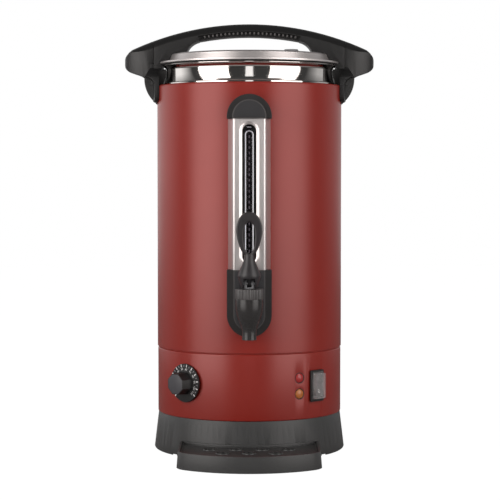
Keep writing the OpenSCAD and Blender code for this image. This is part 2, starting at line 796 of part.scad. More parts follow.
// Ring round the tap's shank with a socket for the foot of the sight glass
module gauge_fitting() {
    back = casing_r + 1.2;
    color(black) difference() {
        union() {
            translate([0, -back, tap_z]) rotate([90, 0, 0]) cylinder(r = shank_r + 4, h = 11.4);
            translate([0, glass_y, tap_z + shank_r + 1]) cylinder(
                r = socket_r, h = glass_bottom + 7 - tap_z - shank_r - 1);
        }
        translate([0, 0, tap_z]) rotate([90, 0, 0]) cylinder(r = shank_r + fit, h = 200);
        translate([0, glass_y, tap_z + shank_r - 1]) cylinder(r = glass_r - glass_wall, h = 20);
        translate([0, glass_y, glass_bottom - fit]) cylinder(r = glass_r + fit, h = 20);
        translate([0, glass_y, glass_bottom + 5 - fit]) cylinder(r = glass_r + seal_w + fit, h = 20);
        translate([0, 0, tap_z - 40]) cylinder(r = casing_r + seat_clear, h = 80);
    }
}

// Socket on the head of the sight glass and its vent pipe into the tank
module vent_elbow() {
    pipe_z = gauge_top + 7;
    color(black) difference() {
        union() {
            difference() {
                translate([0, glass_y, glass_top - 7]) cylinder(r = socket_r, h = pipe_z - glass_top + 12);
                translate([0, 0, glass_top - 8]) cylinder(r = casing_r + seat_clear, h = 40);
            }
            translate([0, -tank_r + 4, pipe_z]) rotate([90, 0, 0])
                cylinder(r = 4, h = -glass_y - tank_r + 4);
        }
        translate([0, glass_y, glass_top - 8]) cylinder(r = glass_r + fit, h = 8 + fit);
        translate([0, glass_y, glass_top - 8]) cylinder(r = glass_r + seal_w + fit, h = 5 + fit);
        translate([0, glass_y, glass_top - 1]) cylinder(r = glass_r - glass_wall, h = pipe_z - glass_top + 3);
        translate([0, -tank_r + 5, pipe_z]) rotate([90, 0, 0]) cylinder(r = 2.4, h = -glass_y - tank_r + 5);
    }
}

// ---------------------------------------------------------------- tap

module at_tap() {
    translate([0, tap_y, 0]) children();
}

// Outer profile of the tap's body, from the spout's mouth up to the bonnet
function tap_profile() = curve([
    [spout_r + 0.2, spout_z], [spout_r, spout_z + 5], [spout_r + 0.1, spout_z + 10],
    [spout_r + 1.2, spout_z + 15], [spout_r + 3.4, spout_z + 20.5], [tap_r - 1.6, spout_z + 27.5],
    [tap_r - 0.4, spout_z + 33], [tap_r, spout_z + 39], [tap_r, bonnet_z - 0.1]], 3);

module tap_body() {
    flange_y = -(casing_r + cap_proud);
    color(charcoal) difference() {
        union() {
            at_tap() rotate_extrude() polygon(concat([[0, spout_z]], tap_profile(),
                [[neck_r, bonnet_z - 0.1], [neck_r, bonnet_z + 5], [0, bonnet_z + 5]]));
            translate([0, -tank_r + 12, tap_z]) rotate([90, 0, 0]) cylinder(r = shank_r, h = -tap_y - tank_r + 12);
            translate([0, flange_y - 0.1, tap_z]) rotate([90, 0, 0]) cylinder(r = tap_flange_r, h = tap_flange_t);
        }
        at_tap() translate([0, 0, spout_z - 1]) cylinder(r = spout_bore_r, h = seat_z - spout_z + 2);
        at_tap() translate([0, 0, seat_z]) cylinder(r = chamber_r, h = bonnet_z + 6 - seat_z);
        translate([0, -tank_r + 13, tap_z]) rotate([90, 0, 0])
            cylinder(r = shank_bore_r, h = -tap_y - tank_r + 13 - chamber_r / 2);
        translate([0, glass_y, tap_z]) cylinder(r = 2.5, h = shank_r + 1);
    }
}

// Where a flat ring of the gasket's radius meets the tank's round wall
gasket_y = -sqrt(pow(tank_r - tank_wall, 2) - pow(locknut_r, 2)) + fit;
gasket_t = 2.4;

module tap_gasket() {
    color([0.8, 0.8, 0.78]) translate([0, gasket_y + gasket_t, tap_z]) rotate([90, 0, 0])
        ring(locknut_r, shank_r + fit, gasket_t);
}

module tap_locknut() {
    color([0.78, 0.62, 0.32]) translate([0, gasket_y + gasket_t + 6, tap_z]) rotate([90, 0, 0])
        difference() {
            cylinder(r = locknut_r + 1, h = 6, $fn = 6);
            translate([0, 0, -1]) cylinder(r = shank_r + fit, h = 8);
        }
}

module tap_bonnet() {
    flutes = 14;
    color(charcoal) at_tap() difference() {
        translate([0, 0, bonnet_z]) union() {
            cylinder(r = bonnet_r, h = bonnet_h - 1);
            cylinder(r = bonnet_r - 1, h = bonnet_h);
        }
        for (i = [0:flutes - 1]) rotate([0, 0, i * 360 / flutes])
            translate([bonnet_r + 0.7, 0, bonnet_z + 1.6]) cylinder(r = 1.9, h = bonnet_h);
        translate([0, 0, bonnet_z - 1]) cylinder(r = neck_r + fit, h = 6 + fit);
        translate([0, 0, bonnet_z]) cylinder(r = chamber_r, h = bonnet_h - bonnet_plate);
        cylinder(r = stem_r + fit, h = bonnet_top + 1);
    }
}

stem_collar_z = seat_z + 10;

module valve_stem() {
    color([0.62, 0.62, 0.63]) at_tap() difference() {
        union() {
            translate([0, 0, seat_z + cup_h]) cylinder(r = stem_r, h = bonnet_top + slip - seat_z - cup_h + 1);
            translate([0, 0, stem_collar_z]) cylinder(r = spring_r + 1.6, h = 2);
            translate([-fork_in - fork_t, -fork_d / 2, bonnet_top + slip])
                cube([2 * (fork_in + fork_t), fork_d, 1.6]);
            for (s = [-1, 1]) translate([s * (fork_in + fork_t / 2) - fork_t / 2, 0, 0]) {
                translate([0, -fork_d / 2, bonnet_top + slip])
                    cube([fork_t, fork_d, pin_z - bonnet_top - slip]);
                translate([0, 0, pin_z]) rotate([0, 90, 0]) cylinder(r = fork_d / 2, h = fork_t);
            }
        }
        translate([-10, 0, pin_z]) rotate([0, 90, 0]) cylinder(r = pin_r + fit, h = 20);
    }
}

module seat_cup() {
    color([0.86, 0.86, 0.84]) at_tap() difference() {
        translate([0, 0, seat_z + 0.1]) cylinder(r1 = cup_r, r2 = stem_r + 2.4, h = cup_h + 1.5);
        translate([0, 0, seat_z + cup_h]) cylinder(r = stem_r, h = 4);
    }
}

spring_foot = stem_collar_z + 2 + 0.1;
spring_head = bonnet_top - bonnet_plate - 0.1;

module valve_spring() {
    steps = 16 * spring_turns;
    rise = spring_head - spring_foot - 2 * spring_wire;
    color(steel) at_tap() swept([for (i = [0:steps]) let (a = i * 360 / 16)
        [for (j = [0:5]) let (b = j * 60, r = spring_r + spring_wire * cos(b))
            [r * cos(a), r * sin(a), spring_foot + spring_wire + rise * i / steps + spring_wire * sin(b)]]]);
}

// Half width and height of the lever's loop bar's middle line at angle a, drawn in to a narrow foot
function loop_point(a) = let (pinch = 0.5 * pow(max(0, -sin(a)), 2))
    [loop_w * cos(a) * (1 - pinch), loop_z + loop_h * sin(a) - 3 * pow(cos(a), 2)];

// Rounds a bar's section off towards a flat-faced one
function flattened(v) = sign(v) * pow(abs(v), 0.62);

module lever_loop() {
    n = 40;
    sides = 16;
    rings = [for (i = [0:n - 1]) let (
            a = i * 360 / n,
            p = loop_point(a),
            q = loop_point(a + 1),
            d = (q - p) / norm(q - p),
            out = [d[1], -d[0]],
            bar = loop_bar + 0.9 * pow(sin(a), 2))
        [for (j = [0:sides - 1]) let (b = j * 360 / sides, w = bar * flattened(cos(b)))
            [p[0] + out[0] * w, loop_depth * flattened(sin(b)), p[1] + out[1] * w]]];
    polyhedron(
        points = [for (r = rings) each r],
        faces = [for (i = [0:n - 1], j = [0:sides - 1])
            [i * sides + j, ((i + 1) % n) * sides + j,
             ((i + 1) % n) * sides + (j + 1) % sides, i * sides + (j + 1) % sides]]);
}

hub_z = bonnet_top + 14;

module tap_lever() {
    window = fork_in + fork_t + 0.8;
    foot = bonnet_top + 1;
    color(charcoal) at_tap() {
        lever_loop();
        difference() {
            rotate_extrude() polygon([[0, foot], [hub_bottom_r, foot], [hub_r - 0.4, hub_z - 1],
                [hub_r, hub_z], [hub_r - 0.8, hub_z + 3], [hub_r - 3, hub_z + 8],
                [6.4, hub_z + 15], [5.6, hub_z + 21], [5.8, hub_z + 26], [0, hub_z + 26]]);
            // Room for the fork, open at the front and underneath
            difference() {
                translate([-window, -hub_r - 1, foot - 1])
                    cube([2 * window, hub_r + 1 + fork_d / 2 + 1.4, pin_z + 5.6 - foot + 1]);
                // The tongue that hangs between the fork's tabs
                translate([-fork_in + slip, 0, pin_z]) {
                    translate([0, -fork_d / 2, 0]) cube([2 * (fork_in - slip), fork_d, 12]);
                    rotate([0, 90, 0]) cylinder(r = fork_d / 2 - 0.3, h = 2 * (fork_in - slip));
                }
            }
            translate([-20, 0, pin_z]) rotate([0, 90, 0]) cylinder(r = pin_r + 0.02, h = 40);
        }
    }
}

module lever_pin() {
    color(steel) at_tap() translate([-hub_bottom_r - 0.5, 0, pin_z]) rotate([0, 90, 0])
        cylinder(r = pin_r, h = 2 * hub_bottom_r + 1);
}

// ---------------------------------------------------------------- thermostat dial

module thermostat_knob() {
    color(black) panel(dial_angle, panel_z, skirt_r) difference() {
        union() {
            translate([0, 0, dial_lift]) cylinder(r = dial_r, h = dial_t - 0.6);
            translate([0, 0, dial_lift + dial_t - 0.6 - eps])
                cylinder(r1 = dial_r, r2 = dial_r - 0.6, h = 0.6);
            translate([0, 0, dial_lift + dial_t - eps]) rotate([0, 0, 22.5])
                cylinder(r1 = octagon_r, r2 = octagon_r - 1.7, h = grip_depth, $fn = 8);
        }
        translate([0, 0, -1]) cylinder(r = spindle_r + 0.02, h = grip_depth);
    }
}

module dial_spindle() {
    front = -sheet_t - 0.3;
    color(steel) panel(dial_angle, panel_z, skirt_r) translate([0, 0, front - 12])
        cylinder(r = spindle_r, h = 12 - front + grip_depth - 2);
}

// ---------------------------------------------------------------- lid

module lid_seal() {
    color([0.25, 0.25, 0.25]) translate([0, 0, rim_top]) ring(rim_r - 2.5, tank_r + 0.4, seal_t);
}

dome_top_r = dome_r - dome_side_in - dome_edge_r;

// Height of the lid's slightly crowned top at radius r
function lid_top_at(r) = flange_z + dome_h - dome_crown * pow(r / dome_top_r, 2);

// Outer surface of the lid from its flange to its middle, grown by d
function lid_outline(d) = concat(
    [[lid_r + d, flange_z - d], [lid_r + d, flange_z + flange_bead + d],
     [lid_r - 2 - d, flange_z + flange_bead + d], [lid_r - 2.6 - d, flange_z + lid_t + d],
     [dome_r + 1.2 + d, flange_z + lid_t + d], [dome_r + d, flange_z + lid_t + 1.2 + d]],
    arc(dome_top_r, lid_top_at(dome_top_r) - dome_edge_r,
        dome_edge_r + d, 8, 84, 6),
    [for (i = [1:4]) let (r = dome_top_r * (1 - i / 4)) [r, lid_top_at(r) + d]]);

module lid_shell() {
    inner = [for (p = lid_outline(0)) if (p[1] > flange_z + flange_bead && p[0] < dome_r)
        [max(0, p[0] - (p[0] > dome_r - 6 ? lid_t : 0)), p[1] - lid_t]];
    n = len(inner);
    color(steel) difference() {
        rotate_extrude() polygon(concat(lid_outline(0),
            [for (i = [n - 1:-1:0]) inner[i]], [[dome_r - lid_t, flange_z]]));
        lid_screw_places() translate([0, 0, -4]) cylinder(r = screw_r + fit, h = 8);
    }
}

// The crown that the lid's handle and both ears share
module bow_ring() {
    translate([0, 0, bow_cz]) rotate([90, 0, 0]) rotate_extrude($fn = 180) intersection() {
        union() {
            translate([bow_r - crown_r, 0]) circle(crown_r);
            translate([bow_r - 110, -bow_w]) square([110 - crown_r, 2 * bow_w]);
        }
        translate([bow_r - 110, -bow_w]) square([120, 2 * bow_w]);
    }
}

grip_inner_r = bow_r - grip_t;
hand_cx = hand_w - hand_corner;
hand_cz = bow_cz + sqrt(pow(grip_inner_r - hand_corner, 2) - pow(hand_cx, 2));

// The hand opening, seen from the front
module hand_opening() {
    lean = atan2(hand_cx, hand_cz - bow_cz);
    polygon(concat(
        [[-hand_w, 0], [hand_w, 0]],
        arc(hand_cx, hand_cz, hand_corner, 0, 90 - lean, 8),
        arc(0, bow_cz, grip_inner_r, 90 - lean, 90 + lean, 10),
        arc(-hand_cx, hand_cz, hand_corner, 90 + lean, 180, 8)));
}

// Space that the lid and the tank's rim take under the handle's feet
module lid_space(clear) {
    rotate_extrude() polygon(concat(
        [[0, jaw_z - 10], [jaw_r, jaw_z - 10], [jaw_r, flange_z - clear]], lid_outline(clear)));
}

module lid_handle() {
    color(black) difference() {
        intersection() {
            bow_ring();
            translate([0, 0, jaw_z]) cylinder(r = seam_r, h = bow_rise + jaw_drop + 10);
        }
        union() {
            stand_up(bow_w + 1) hand_opening();
            lid_space(0.1);
        }
        lid_screw_places() translate([0, 0, -5]) cylinder(r = screw_r + fit, h = 13);
    }
}

// Where the handle's screws come up through the lid's raised middle, at its upper surface
lid_screw_x = dome_r - 11.5;
lid_screw_y = 9;
lid_screw_z = lid_top_at(norm([lid_screw_x, lid_screw_y]));

module lid_screw_places() {
    for (s = [-1, 1], t = [-1, 1]) translate([s * lid_screw_x, t * lid_screw_y, lid_screw_z]) children();
}

module lid_screws() {
    color(steel) lid_screw_places() translate([0, 0, -lid_t - 0.3]) mirror([0, 0, 1]) screw(8);
}

module steam_vent() {
    color([0.45, 0.45, 0.46]) translate([vent_x, vent_y, lid_top_at(norm([vent_x, vent_y]) - vent_r) + 0.05]) difference() {
        union() {
            cylinder(r = vent_r, h = vent_t - 0.6);
            cylinder(r = vent_r - 0.8, h = vent_t);
        }
        for (i = [-1:1]) translate([-4, i * 4 - 0.8, vent_t - 0.8]) cube([8, 1.6, 1]);
    }
}

// ---------------------------------------------------------------- ears

gusset_r = 37.2;
gusset_x = casing_r + 14.8;
flare_r = 11;                  // concave curve from the saddle out to the ear
ear_bottom = flange_z - 16;

// Front view of the ear above the saddle, right-hand side
module ear_outline() {
    x = ear_reach;
    z = flange_z;
    polygon(concat(
        [[waist_r + 1.2, ear_bottom], [waist_r + 1.2, z + 40], [x - 12.7, z + 40], [x - 9.7, z + 18]],
        curve([[x - 5.1, z + 13], [x - 1.4, z + 8.5], [x - 0.1, z + 4.5], [x, z + 1.5],
            [x - 0.4, z - 3], [x - 1.8, z - 6], [x - 5, z - 8.8], [x - 11, z - 11],
            [x - 18, z - 13.3], [x - 23, ear_bottom]], 3)));
}

// Plan of the ear: straight sides, then curved ones that end in a round tip
module ear_plan() {
    n = 6;
    m = 12;
    turn = atan2(bow_w - ear_side_r, ear_reach - ear_tip_r - ear_tip_start);
    half = concat(
        [for (i = [0:n - 1]) let (a = -90 + (turn + 90) * i / n)
            [ear_tip_start + ear_side_r * cos(a), ear_side_r - bow_w + ear_side_r * sin(a)]],
        [for (i = [0:m / 2 - 1]) let (a = turn * (1 - 2 * i / m))
            [ear_reach - ear_tip_r + ear_tip_r * cos(a), ear_tip_r * sin(a)]]);
    polygon(concat(
        [[casing_r - 20, -bow_w]],
        half,
        [[ear_reach, 0]],
        [for (i = [len(half) - 1:-1:0]) [half[i][0], -half[i][1]]],
        [[casing_r - 20, bow_w]]));
}

// Section of the saddle: a band on the casing that flares out at its top; radius and height
module saddle_section() {
    foot = casing_top - saddle_drop;
    r0 = casing_r + seat_clear;
    r1 = r0 + saddle_t;
    flare_z = ear_bottom - flare_r;
    polygon(concat(
        [[r0, foot]],
        arc(r1 - 2.4, foot + 2.4, 2.4, -90, 0, 4),
        arc(r1 + flare_r, flare_z, flare_r, 180, 90, 8),
        [[r1 + 3, flange_z - 4], [r0, flange_z - 4]]));
}

// Side view of the saddle: broad with round lower corners, drawn in at the top to the ear's width
module saddle_side() {
    foot = casing_top - saddle_drop;
    half = concat(
        arc(saddle_w - 8, foot + 8, 8, -90, 0, 6),
        [for (i = [0:8]) let (t = i / 8)
            [bow_w - 0.1 + (saddle_w - bow_w) * (1 + cos(180 * t)) / 2,
             ear_bottom - 2 + (flange_z - 3 - ear_bottom + 2) * t]]);
    polygon(concat(half, [for (i = [len(half) - 1:-1:0]) [-half[i][0], half[i][1]]]));
}

module saddle_pad_section() {
    polygon([[waist_r + 4.6, casing_top + 0.2], [waist_r + 4.4, casing_top + 2.6],
        [waist_r + 1.3, casing_top + 12.5], [waist_r + 1.3, ear_pad_top],
        [casing_r + 8, ear_pad_top], [casing_r + 8, casing_top + 0.2]]);
}

module ear(side) {
    difference() {
        union() {
            intersection() {
                bow_ring();
                stand_up(bow_w + 1) ear_outline();
                linear_extrude(600) ear_plan();
            }
            intersection() {
                rotate_extrude() saddle_section();
                translate([casing_r - 30, 0, 0]) rotate([90, 0, 90]) linear_extrude(60) saddle_side();
            }
            intersection() {
                rotate_extrude() saddle_pad_section();
                translate([casing_r - 30, -bow_w, 0]) cube([60, 2 * bow_w, 600]);
            }
            // Web under the ear, set back from the saddle's edges
            stand_up(bow_w - 2.5) polygon(concat(
                [[casing_r + 1, ear_bottom + 4], [casing_r + 1, flange_z - 47.5]],
                arc(gusset_x - gusset_r, flange_z - 18, gusset_r, -50, 0, 10),
                [[gusset_x, ear_bottom + 4]]));
        }
        // Room for the lid's handle, the casing and the lock's tongue
        translate([0, 0, ear_pad_top]) cylinder(r = seam_r + slip, h = 100);
        cylinder(r = casing_r + seat_clear, h = casing_top + 0.2);
        collar_space(seat_clear);
        intersection() {
            translate([0, 0, jaw_z - 0.2]) ring(seam_r + tongue_slot_in, seam_r - 2, tongue_slot_h);
            translate([casing_r - 20, side > 0 ? -6 : -saddle_w - 1, 0]) cube([60, saddle_w + 7, 600]);
        }
        ear_screw_sockets();
    }
}

ear_screw_z = casing_top - 11;

module ear_screw_places() {
    for (side = [-1, 1]) one_ear_screws(side) children();
}

// Screws from inside the casing, pointing out into the saddle
module one_ear_screws(side) {
    for (t = [-1, 1]) rotate([0, 0, side > 0 ? 0 : 180]) rotate([0, 0, t * 7])
        translate([casing_r - sheet_t - 0.3, 0, ear_screw_z]) rotate([0, -90, 0]) children();
}

module ear_screw_sockets() {
    for (t = [-1, 1]) rotate([0, 0, t * 7]) translate([casing_r - 2, 0, ear_screw_z])
        rotate([0, 90, 0]) cylinder(r = screw_r + fit, h = 6.2);
}

module right_ear() {
    color(black) ear(1);
}

module left_ear() {
    color(black) mirror([1, 0, 0]) ear(-1);
}

module ear_screws() {
    color(steel) ear_screw_places() screw(5);
}

// ---------------------------------------------------------------- drip tray

// Plan of the tray, inset by d
module tray_plan(d) {
    w = tray_w - d;
    front = -tray_reach + d;
    corner = tray_corner - d;
    intersection() {
        union() {
            translate([-w, front + corner + 6]) square([2 * w, tray_reach - 40]);
            translate([-w + corner, front]) square([2 * (w - corner), 60]);
            for (s = [-1, 1]) translate([s * (w - corner), front + corner + 6]) circle(corner);
            for (s = [-1, 1]) translate([s * (w - corner), front + corner]) circle(corner);
            translate([-w + corner, front]) square([2 * (w - corner), 60]);
        }
        translate([0, front + tray_bow_r]) circle(tray_bow_r, $fn = 180);
    }
}

// The tray's outer form: wider at the foot than at the rim
module tray_form() {
    middle_y = -(tray_reach + tray_back) / 2;
    translate([0, middle_y, tray_z]) linear_extrude(tray_h - tray_z, scale = tray_w / (tray_w + tray_draft))
        translate([0, -middle_y]) tray_plan(-tray_draft);
}

module drip_tray() {
    color(charcoal) difference() {
        union() {
            difference() {
                tray_form();
                translate([0, 0, tray_z + tray_floor]) linear_extrude(tray_h)
                    difference() {
                        tray_plan(tray_wall + ledge_w);
                        circle(base_r_at(grid_z) + slip + tray_wall + ledge_w);
                    }
                translate([0, 0, grid_z]) linear_extrude(tray_h)
                    difference() {
                        tray_plan(tray_wall);
                        circle(base_r_at(tray_h) + slip + tray_wall);
                    }
                base_solid(slip);
            }
            for (s = [-1, 1]) translate([s * tongue_x - tongue_w / 2, -base_foot_r - 1, tongue_z])
                cube([tongue_w, tongue_in + 8, tongue_t]);
        }
        translate([-150, -tray_back, -1]) cube([300, 200, 60]);
    }
}

module drain_places() {
    for (row = drain_rows, i = row[1]) translate([i * drain_pitch, row[0], 0]) children();
}

// Plan of the grid, inset by d
module grid_plan(d) {
    rim = tray_wall + slip;
    difference() {
        tray_plan(rim + d);
        circle(base_r_at(tray_h) + slip + rim + d);
        translate([-150, -tray_back - rim - d]) square([300, 200]);
    }
}

module drip_grid() {
    color(charcoal) translate([0, 0, grid_z]) difference() {
        union() {
            linear_extrude(grid_t) grid_plan(0);
            linear_extrude(grid_t + grid_rib_h) difference() {
                grid_plan(0);
                grid_plan(grid_rib);
            }
            drain_places() cylinder(r = drain_r + drain_lip, h = grid_t + grid_rib_h);
        }
        drain_places() translate([0, 0, -1]) cylinder(r = drain_r, h = grid_t + grid_rib_h + 2);
    }
}

base_shell();
base_plate();
rubber_pads();
base_screws();
lower_skirt();
outer_casing();
inner_tank();
neck_collar();
heating_element();
thermal_cutout();
thermostat_body();
thermostat_sensor();
terminal_block();
lamp_holders();
red_lens();
amber_lens();
switch_housing();
switch_boot();
power_inlet();
inlet_screws();
gauge_cover();
gauge_top_cap();
gauge_bottom_cap();
gauge_backing();
sight_glass();
glass_seals();
gauge_fitting();
vent_elbow();
tap_body();
tap_gasket();
tap_locknut();
tap_bonnet();
left_ear();
right_ear();
ear_screws();
valve_stem();
seat_cup();
valve_spring();
tap_lever();
lever_pin();
thermostat_knob();
dial_spindle();
switch_rocker();
lid_seal();
lid_shell();
lid_handle();
lid_screws();
steam_vent();
drip_tray();
drip_grid();
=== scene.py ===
"""Looks of a free-standing hot water urn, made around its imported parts.

Everything is in metres: +Z is up, the tap is at the front (-Y) and the origin is on the casing's
axis at the surface that the urn stands on.
"""

from __future__ import annotations

import logging
import math
from contextlib import contextmanager
from dataclasses import dataclass
from enum import Enum
from typing import Callable, Iterator, Sequence, Union

import bmesh
import bpy
from mathutils import Matrix, Vector

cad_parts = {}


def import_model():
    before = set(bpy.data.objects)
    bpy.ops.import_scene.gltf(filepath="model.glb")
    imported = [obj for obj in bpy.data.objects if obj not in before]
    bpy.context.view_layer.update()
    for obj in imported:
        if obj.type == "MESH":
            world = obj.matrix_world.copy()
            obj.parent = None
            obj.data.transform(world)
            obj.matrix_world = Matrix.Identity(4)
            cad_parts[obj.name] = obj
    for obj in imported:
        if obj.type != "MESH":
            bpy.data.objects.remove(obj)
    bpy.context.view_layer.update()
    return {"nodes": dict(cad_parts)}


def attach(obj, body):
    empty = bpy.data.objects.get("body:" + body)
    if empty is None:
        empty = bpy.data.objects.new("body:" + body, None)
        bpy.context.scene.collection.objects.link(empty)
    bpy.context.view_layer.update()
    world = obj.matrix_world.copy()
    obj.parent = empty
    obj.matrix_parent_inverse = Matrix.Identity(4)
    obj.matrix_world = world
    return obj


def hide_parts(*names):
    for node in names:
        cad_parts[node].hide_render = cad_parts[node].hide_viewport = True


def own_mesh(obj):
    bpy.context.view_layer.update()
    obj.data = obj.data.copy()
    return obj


LOG = logging.getLogger("urn")
PRINT = 0.00004  # how thick a printed mark is
SAME = 0.000001  # corners that are nearer than this are one corner

Colour = tuple[float, float, float]
Point = tuple[float, float]
Point3 = tuple[float, float, float]
Test = Callable[[Vector, Vector], bool]
Number = Union[float, "Value"]


class Body(Enum):
    """The bodies that pieces ride on."""

    ROOT = "root"
    VALVE = "valve"
    LEVER = "lever"
    DIAL = "dial"
    ROCKER = "rocker"
    LID = "lid"
    TRAY = "tray"
    GRID = "grid"


class Brush(Enum):
    """The way that a steel surface was finished."""

    POLISHED = "polished"
    UPRIGHT = "upright"


def srgb(red: int, green: int, blue: int) -> Colour:
    """Turns a display colour of 0 to 255 into the linear one that a shader takes.

    Args:
        red: Red, 0 to 255.
        green: Green, 0 to 255.
        blue: Blue, 0 to 255.

    Returns:
        The linear colour.
    """

    def linear(level: int) -> float:
        """Undoes the display curve on one level."""
        share = level / 255
        return share / 12.92 if share <= 0.04045 else ((share + 0.055) / 1.055) ** 2.4

    return linear(red), linear(green), linear(blue)


# ------------------------------------------------------------------------------- shader nodes


class Value:
    """A socket that carries a number. Arithmetic on it adds Math nodes."""

    def __init__(self, tree: "Nodes", socket: bpy.types.NodeSocket) -> None:
        """Keeps the tree and the socket.

        Args:
            tree: The nodes that the value belongs to.
            socket: The socket that gives it.
        """
        self.tree = tree
        self.socket = socket

    def _math(self, operation: str, first: Number, second: Number) -> "Value":
        """Adds one Math node.

        Args:
            operation: The node's operation.
            first: Its first input.
            second: Its second input.

        Returns:
            The node's result.
        """
        node = self.tree.add("ShaderNodeMath", {"operation": operation}, {0: first, 1: second})
        return Value(self.tree, node.outputs[0])

    def __add__(self, other: Number) -> "Value":
        """self + other"""
        return self._math("ADD", self, other)

    __radd__ = __add__

    def __sub__(self, other: Number) -> "Value":
        """self - other"""
        return self._math("SUBTRACT", self, other)

    def __rsub__(self, other: Number) -> "Value":
        """other - self"""
        return self._math("SUBTRACT", other, self)

    def __mul__(self, other: Number) -> "Value":
        """self * other"""
        return self._math("MULTIPLY", self, other)

    __rmul__ = __mul__

    def below(self, limit: float) -> "Value":
        """1 where the value is below the limit, otherwise 0."""
        return self._math("LESS_THAN", self, limit)

    def magnitude(self) -> "Value":
        """The value without its sign."""
        return self._math("ABSOLUTE", self, 0.0)

    def clamped(self) -> "Value":
        """The value kept within 0 and 1."""
        return self._math("MINIMUM", self._math("MAXIMUM", self, 0.0), 1.0)


class Nodes:
    """The node tree of one material or world."""

    def __init__(self, owner: bpy.types.ID) -> None:
        """Switches the owner's nodes on and empties its tree.

        Args:
            owner: The material or world.
        """
        owner.use_nodes = True
        self.tree = owner.node_tree
        self.tree.nodes.clear()

    def add(
        self, kind: str, settings: dict[str, object] | None = None, inputs: dict[object, object] | None = None
    ) -> bpy.types.Node:
        """Adds one node, sets it up and links it.

        Args:
            kind: The node's type.
            settings: Its own settings, such as an operation.
            inputs: Values or links of its sockets, by name or number.

        Returns:
            The node.
        """
        node = self.tree.nodes.new(kind)
        for key, setting in (settings or {}).items():
            setattr(node, key, setting)
        for key, given in (inputs or {}).items():
            socket = node.inputs[key]
            if isinstance(given, Value):
                given = given.socket
            if isinstance(given, bpy.types.NodeSocket):
                self.tree.links.new(given, socket)
            elif isinstance(given, tuple) and socket.type == "RGBA":
                socket.default_value = (*given, 1.0)
            else:
                socket.default_value = given
        return node

    def place(self, scale: tuple[float, float, float] = (1.0, 1.0, 1.0)) -> bpy.types.NodeSocket:
        """Object coordinates, stretched.

        Args:
            scale: How much each axis is stretched.

        Returns:
            The vector socket.
        """
        coords = self.add("ShaderNodeTexCoord").outputs["Object"]
        return self.add("ShaderNodeMapping", None, {"Vector": coords, "Scale": scale}).outputs["Vector"]

    def noise(self, vector: bpy.types.NodeSocket, scale: float, detail: float = 2.0) -> Value:
        """Noise, 0 to 1.

        Args:
            vector: Where it is read.
            scale: How many cells there are in a metre.
            detail: How many octaves it has.

        Returns:
            The noise.
        """
        node = self.add("ShaderNodeTexNoise", None, {"Vector": vector, "Scale": scale, "Detail": detail})
        return Value(self, node.outputs["Fac"])

    def mix(self, factor: Number, first: object, second: object) -> bpy.types.NodeSocket:
        """Mixes two colours.

        Args:
            factor: The share of the second.
            first: The first colour or socket.
            second: The second colour or socket.

        Returns:
            The colour socket.
        """
        node = self.add("ShaderNodeMix", {"data_type": "RGBA"}, {0: factor, 6: first, 7: second})
        return node.outputs[2]

    def bump(self, height: Value, depth: float) -> bpy.types.NodeSocket:
        """A bumped normal.

        Args:
            height: The relief, 0 to 1.
            depth: Its depth in metres.

        Returns:
            The normal socket.
        """
        inputs = {"Height": height, "Distance": depth, "Strength": 1.0}
        return self.add("ShaderNodeBump", None, inputs).outputs["Normal"]

    def surface(self, inputs: dict[object, object]) -> None:
        """Ends the tree in a Principled shader.

        Args:
            inputs: Values or links of the shader's sockets.
        """
        shader = self.add("ShaderNodeBsdfPrincipled", None, inputs)
        self.add("ShaderNodeOutputMaterial", None, {"Surface": shader.outputs[0]})


def new_material(name: str) -> tuple[bpy.types.Material, Nodes]:
    """Makes an empty material.

    Args:
        name: Its name.

    Returns:
        The material and its nodes.
    """
    material = bpy.data.materials.new(name)
    return material, Nodes(material)


# ------------------------------------------------------------------------------- finishes


@dataclass(frozen=True)
class Paint:
    """Satin paint with a metallic ground: fine orange peel, a little uneven in tone."""

    name: str = "satin_red_paint"
    colour: Colour = srgb(140, 31, 18)
    deep: Colour = srgb(130, 26, 15)
    roughness: float = 0.35
    cloud: float = 14.0
    cloud_rough: float = 0.05
    peel: float = 900.0
    peel_depth: float = 0.00002
    dust: float = 2600.0
    dust_rough: float = 0.06
    flake: float = 0.12
    index: float = 1.55

    def make(self) -> bpy.types.Material:
        """Builds the material.

        Returns:
            The material.
        """
        material, nodes = new_material(self.name)
        place = nodes.place()
        tone = nodes.noise(place, self.cloud, 3.0)
        peel = nodes.noise(place, self.peel, 2.0)
        dust = nodes.noise(place, self.dust, 1.0)
        rough = self.roughness + (tone - 0.5) * self.cloud_rough + (dust - 0.5) * self.dust_rough
        nodes.surface(
            {
                "Base Color": nodes.mix(tone, self.colour, self.deep),
                "Roughness": rough,
                "Normal": nodes.bump(peel, self.peel_depth),
                "Metallic": self.flake,
                "IOR": self.index,
            }
        )
        return material


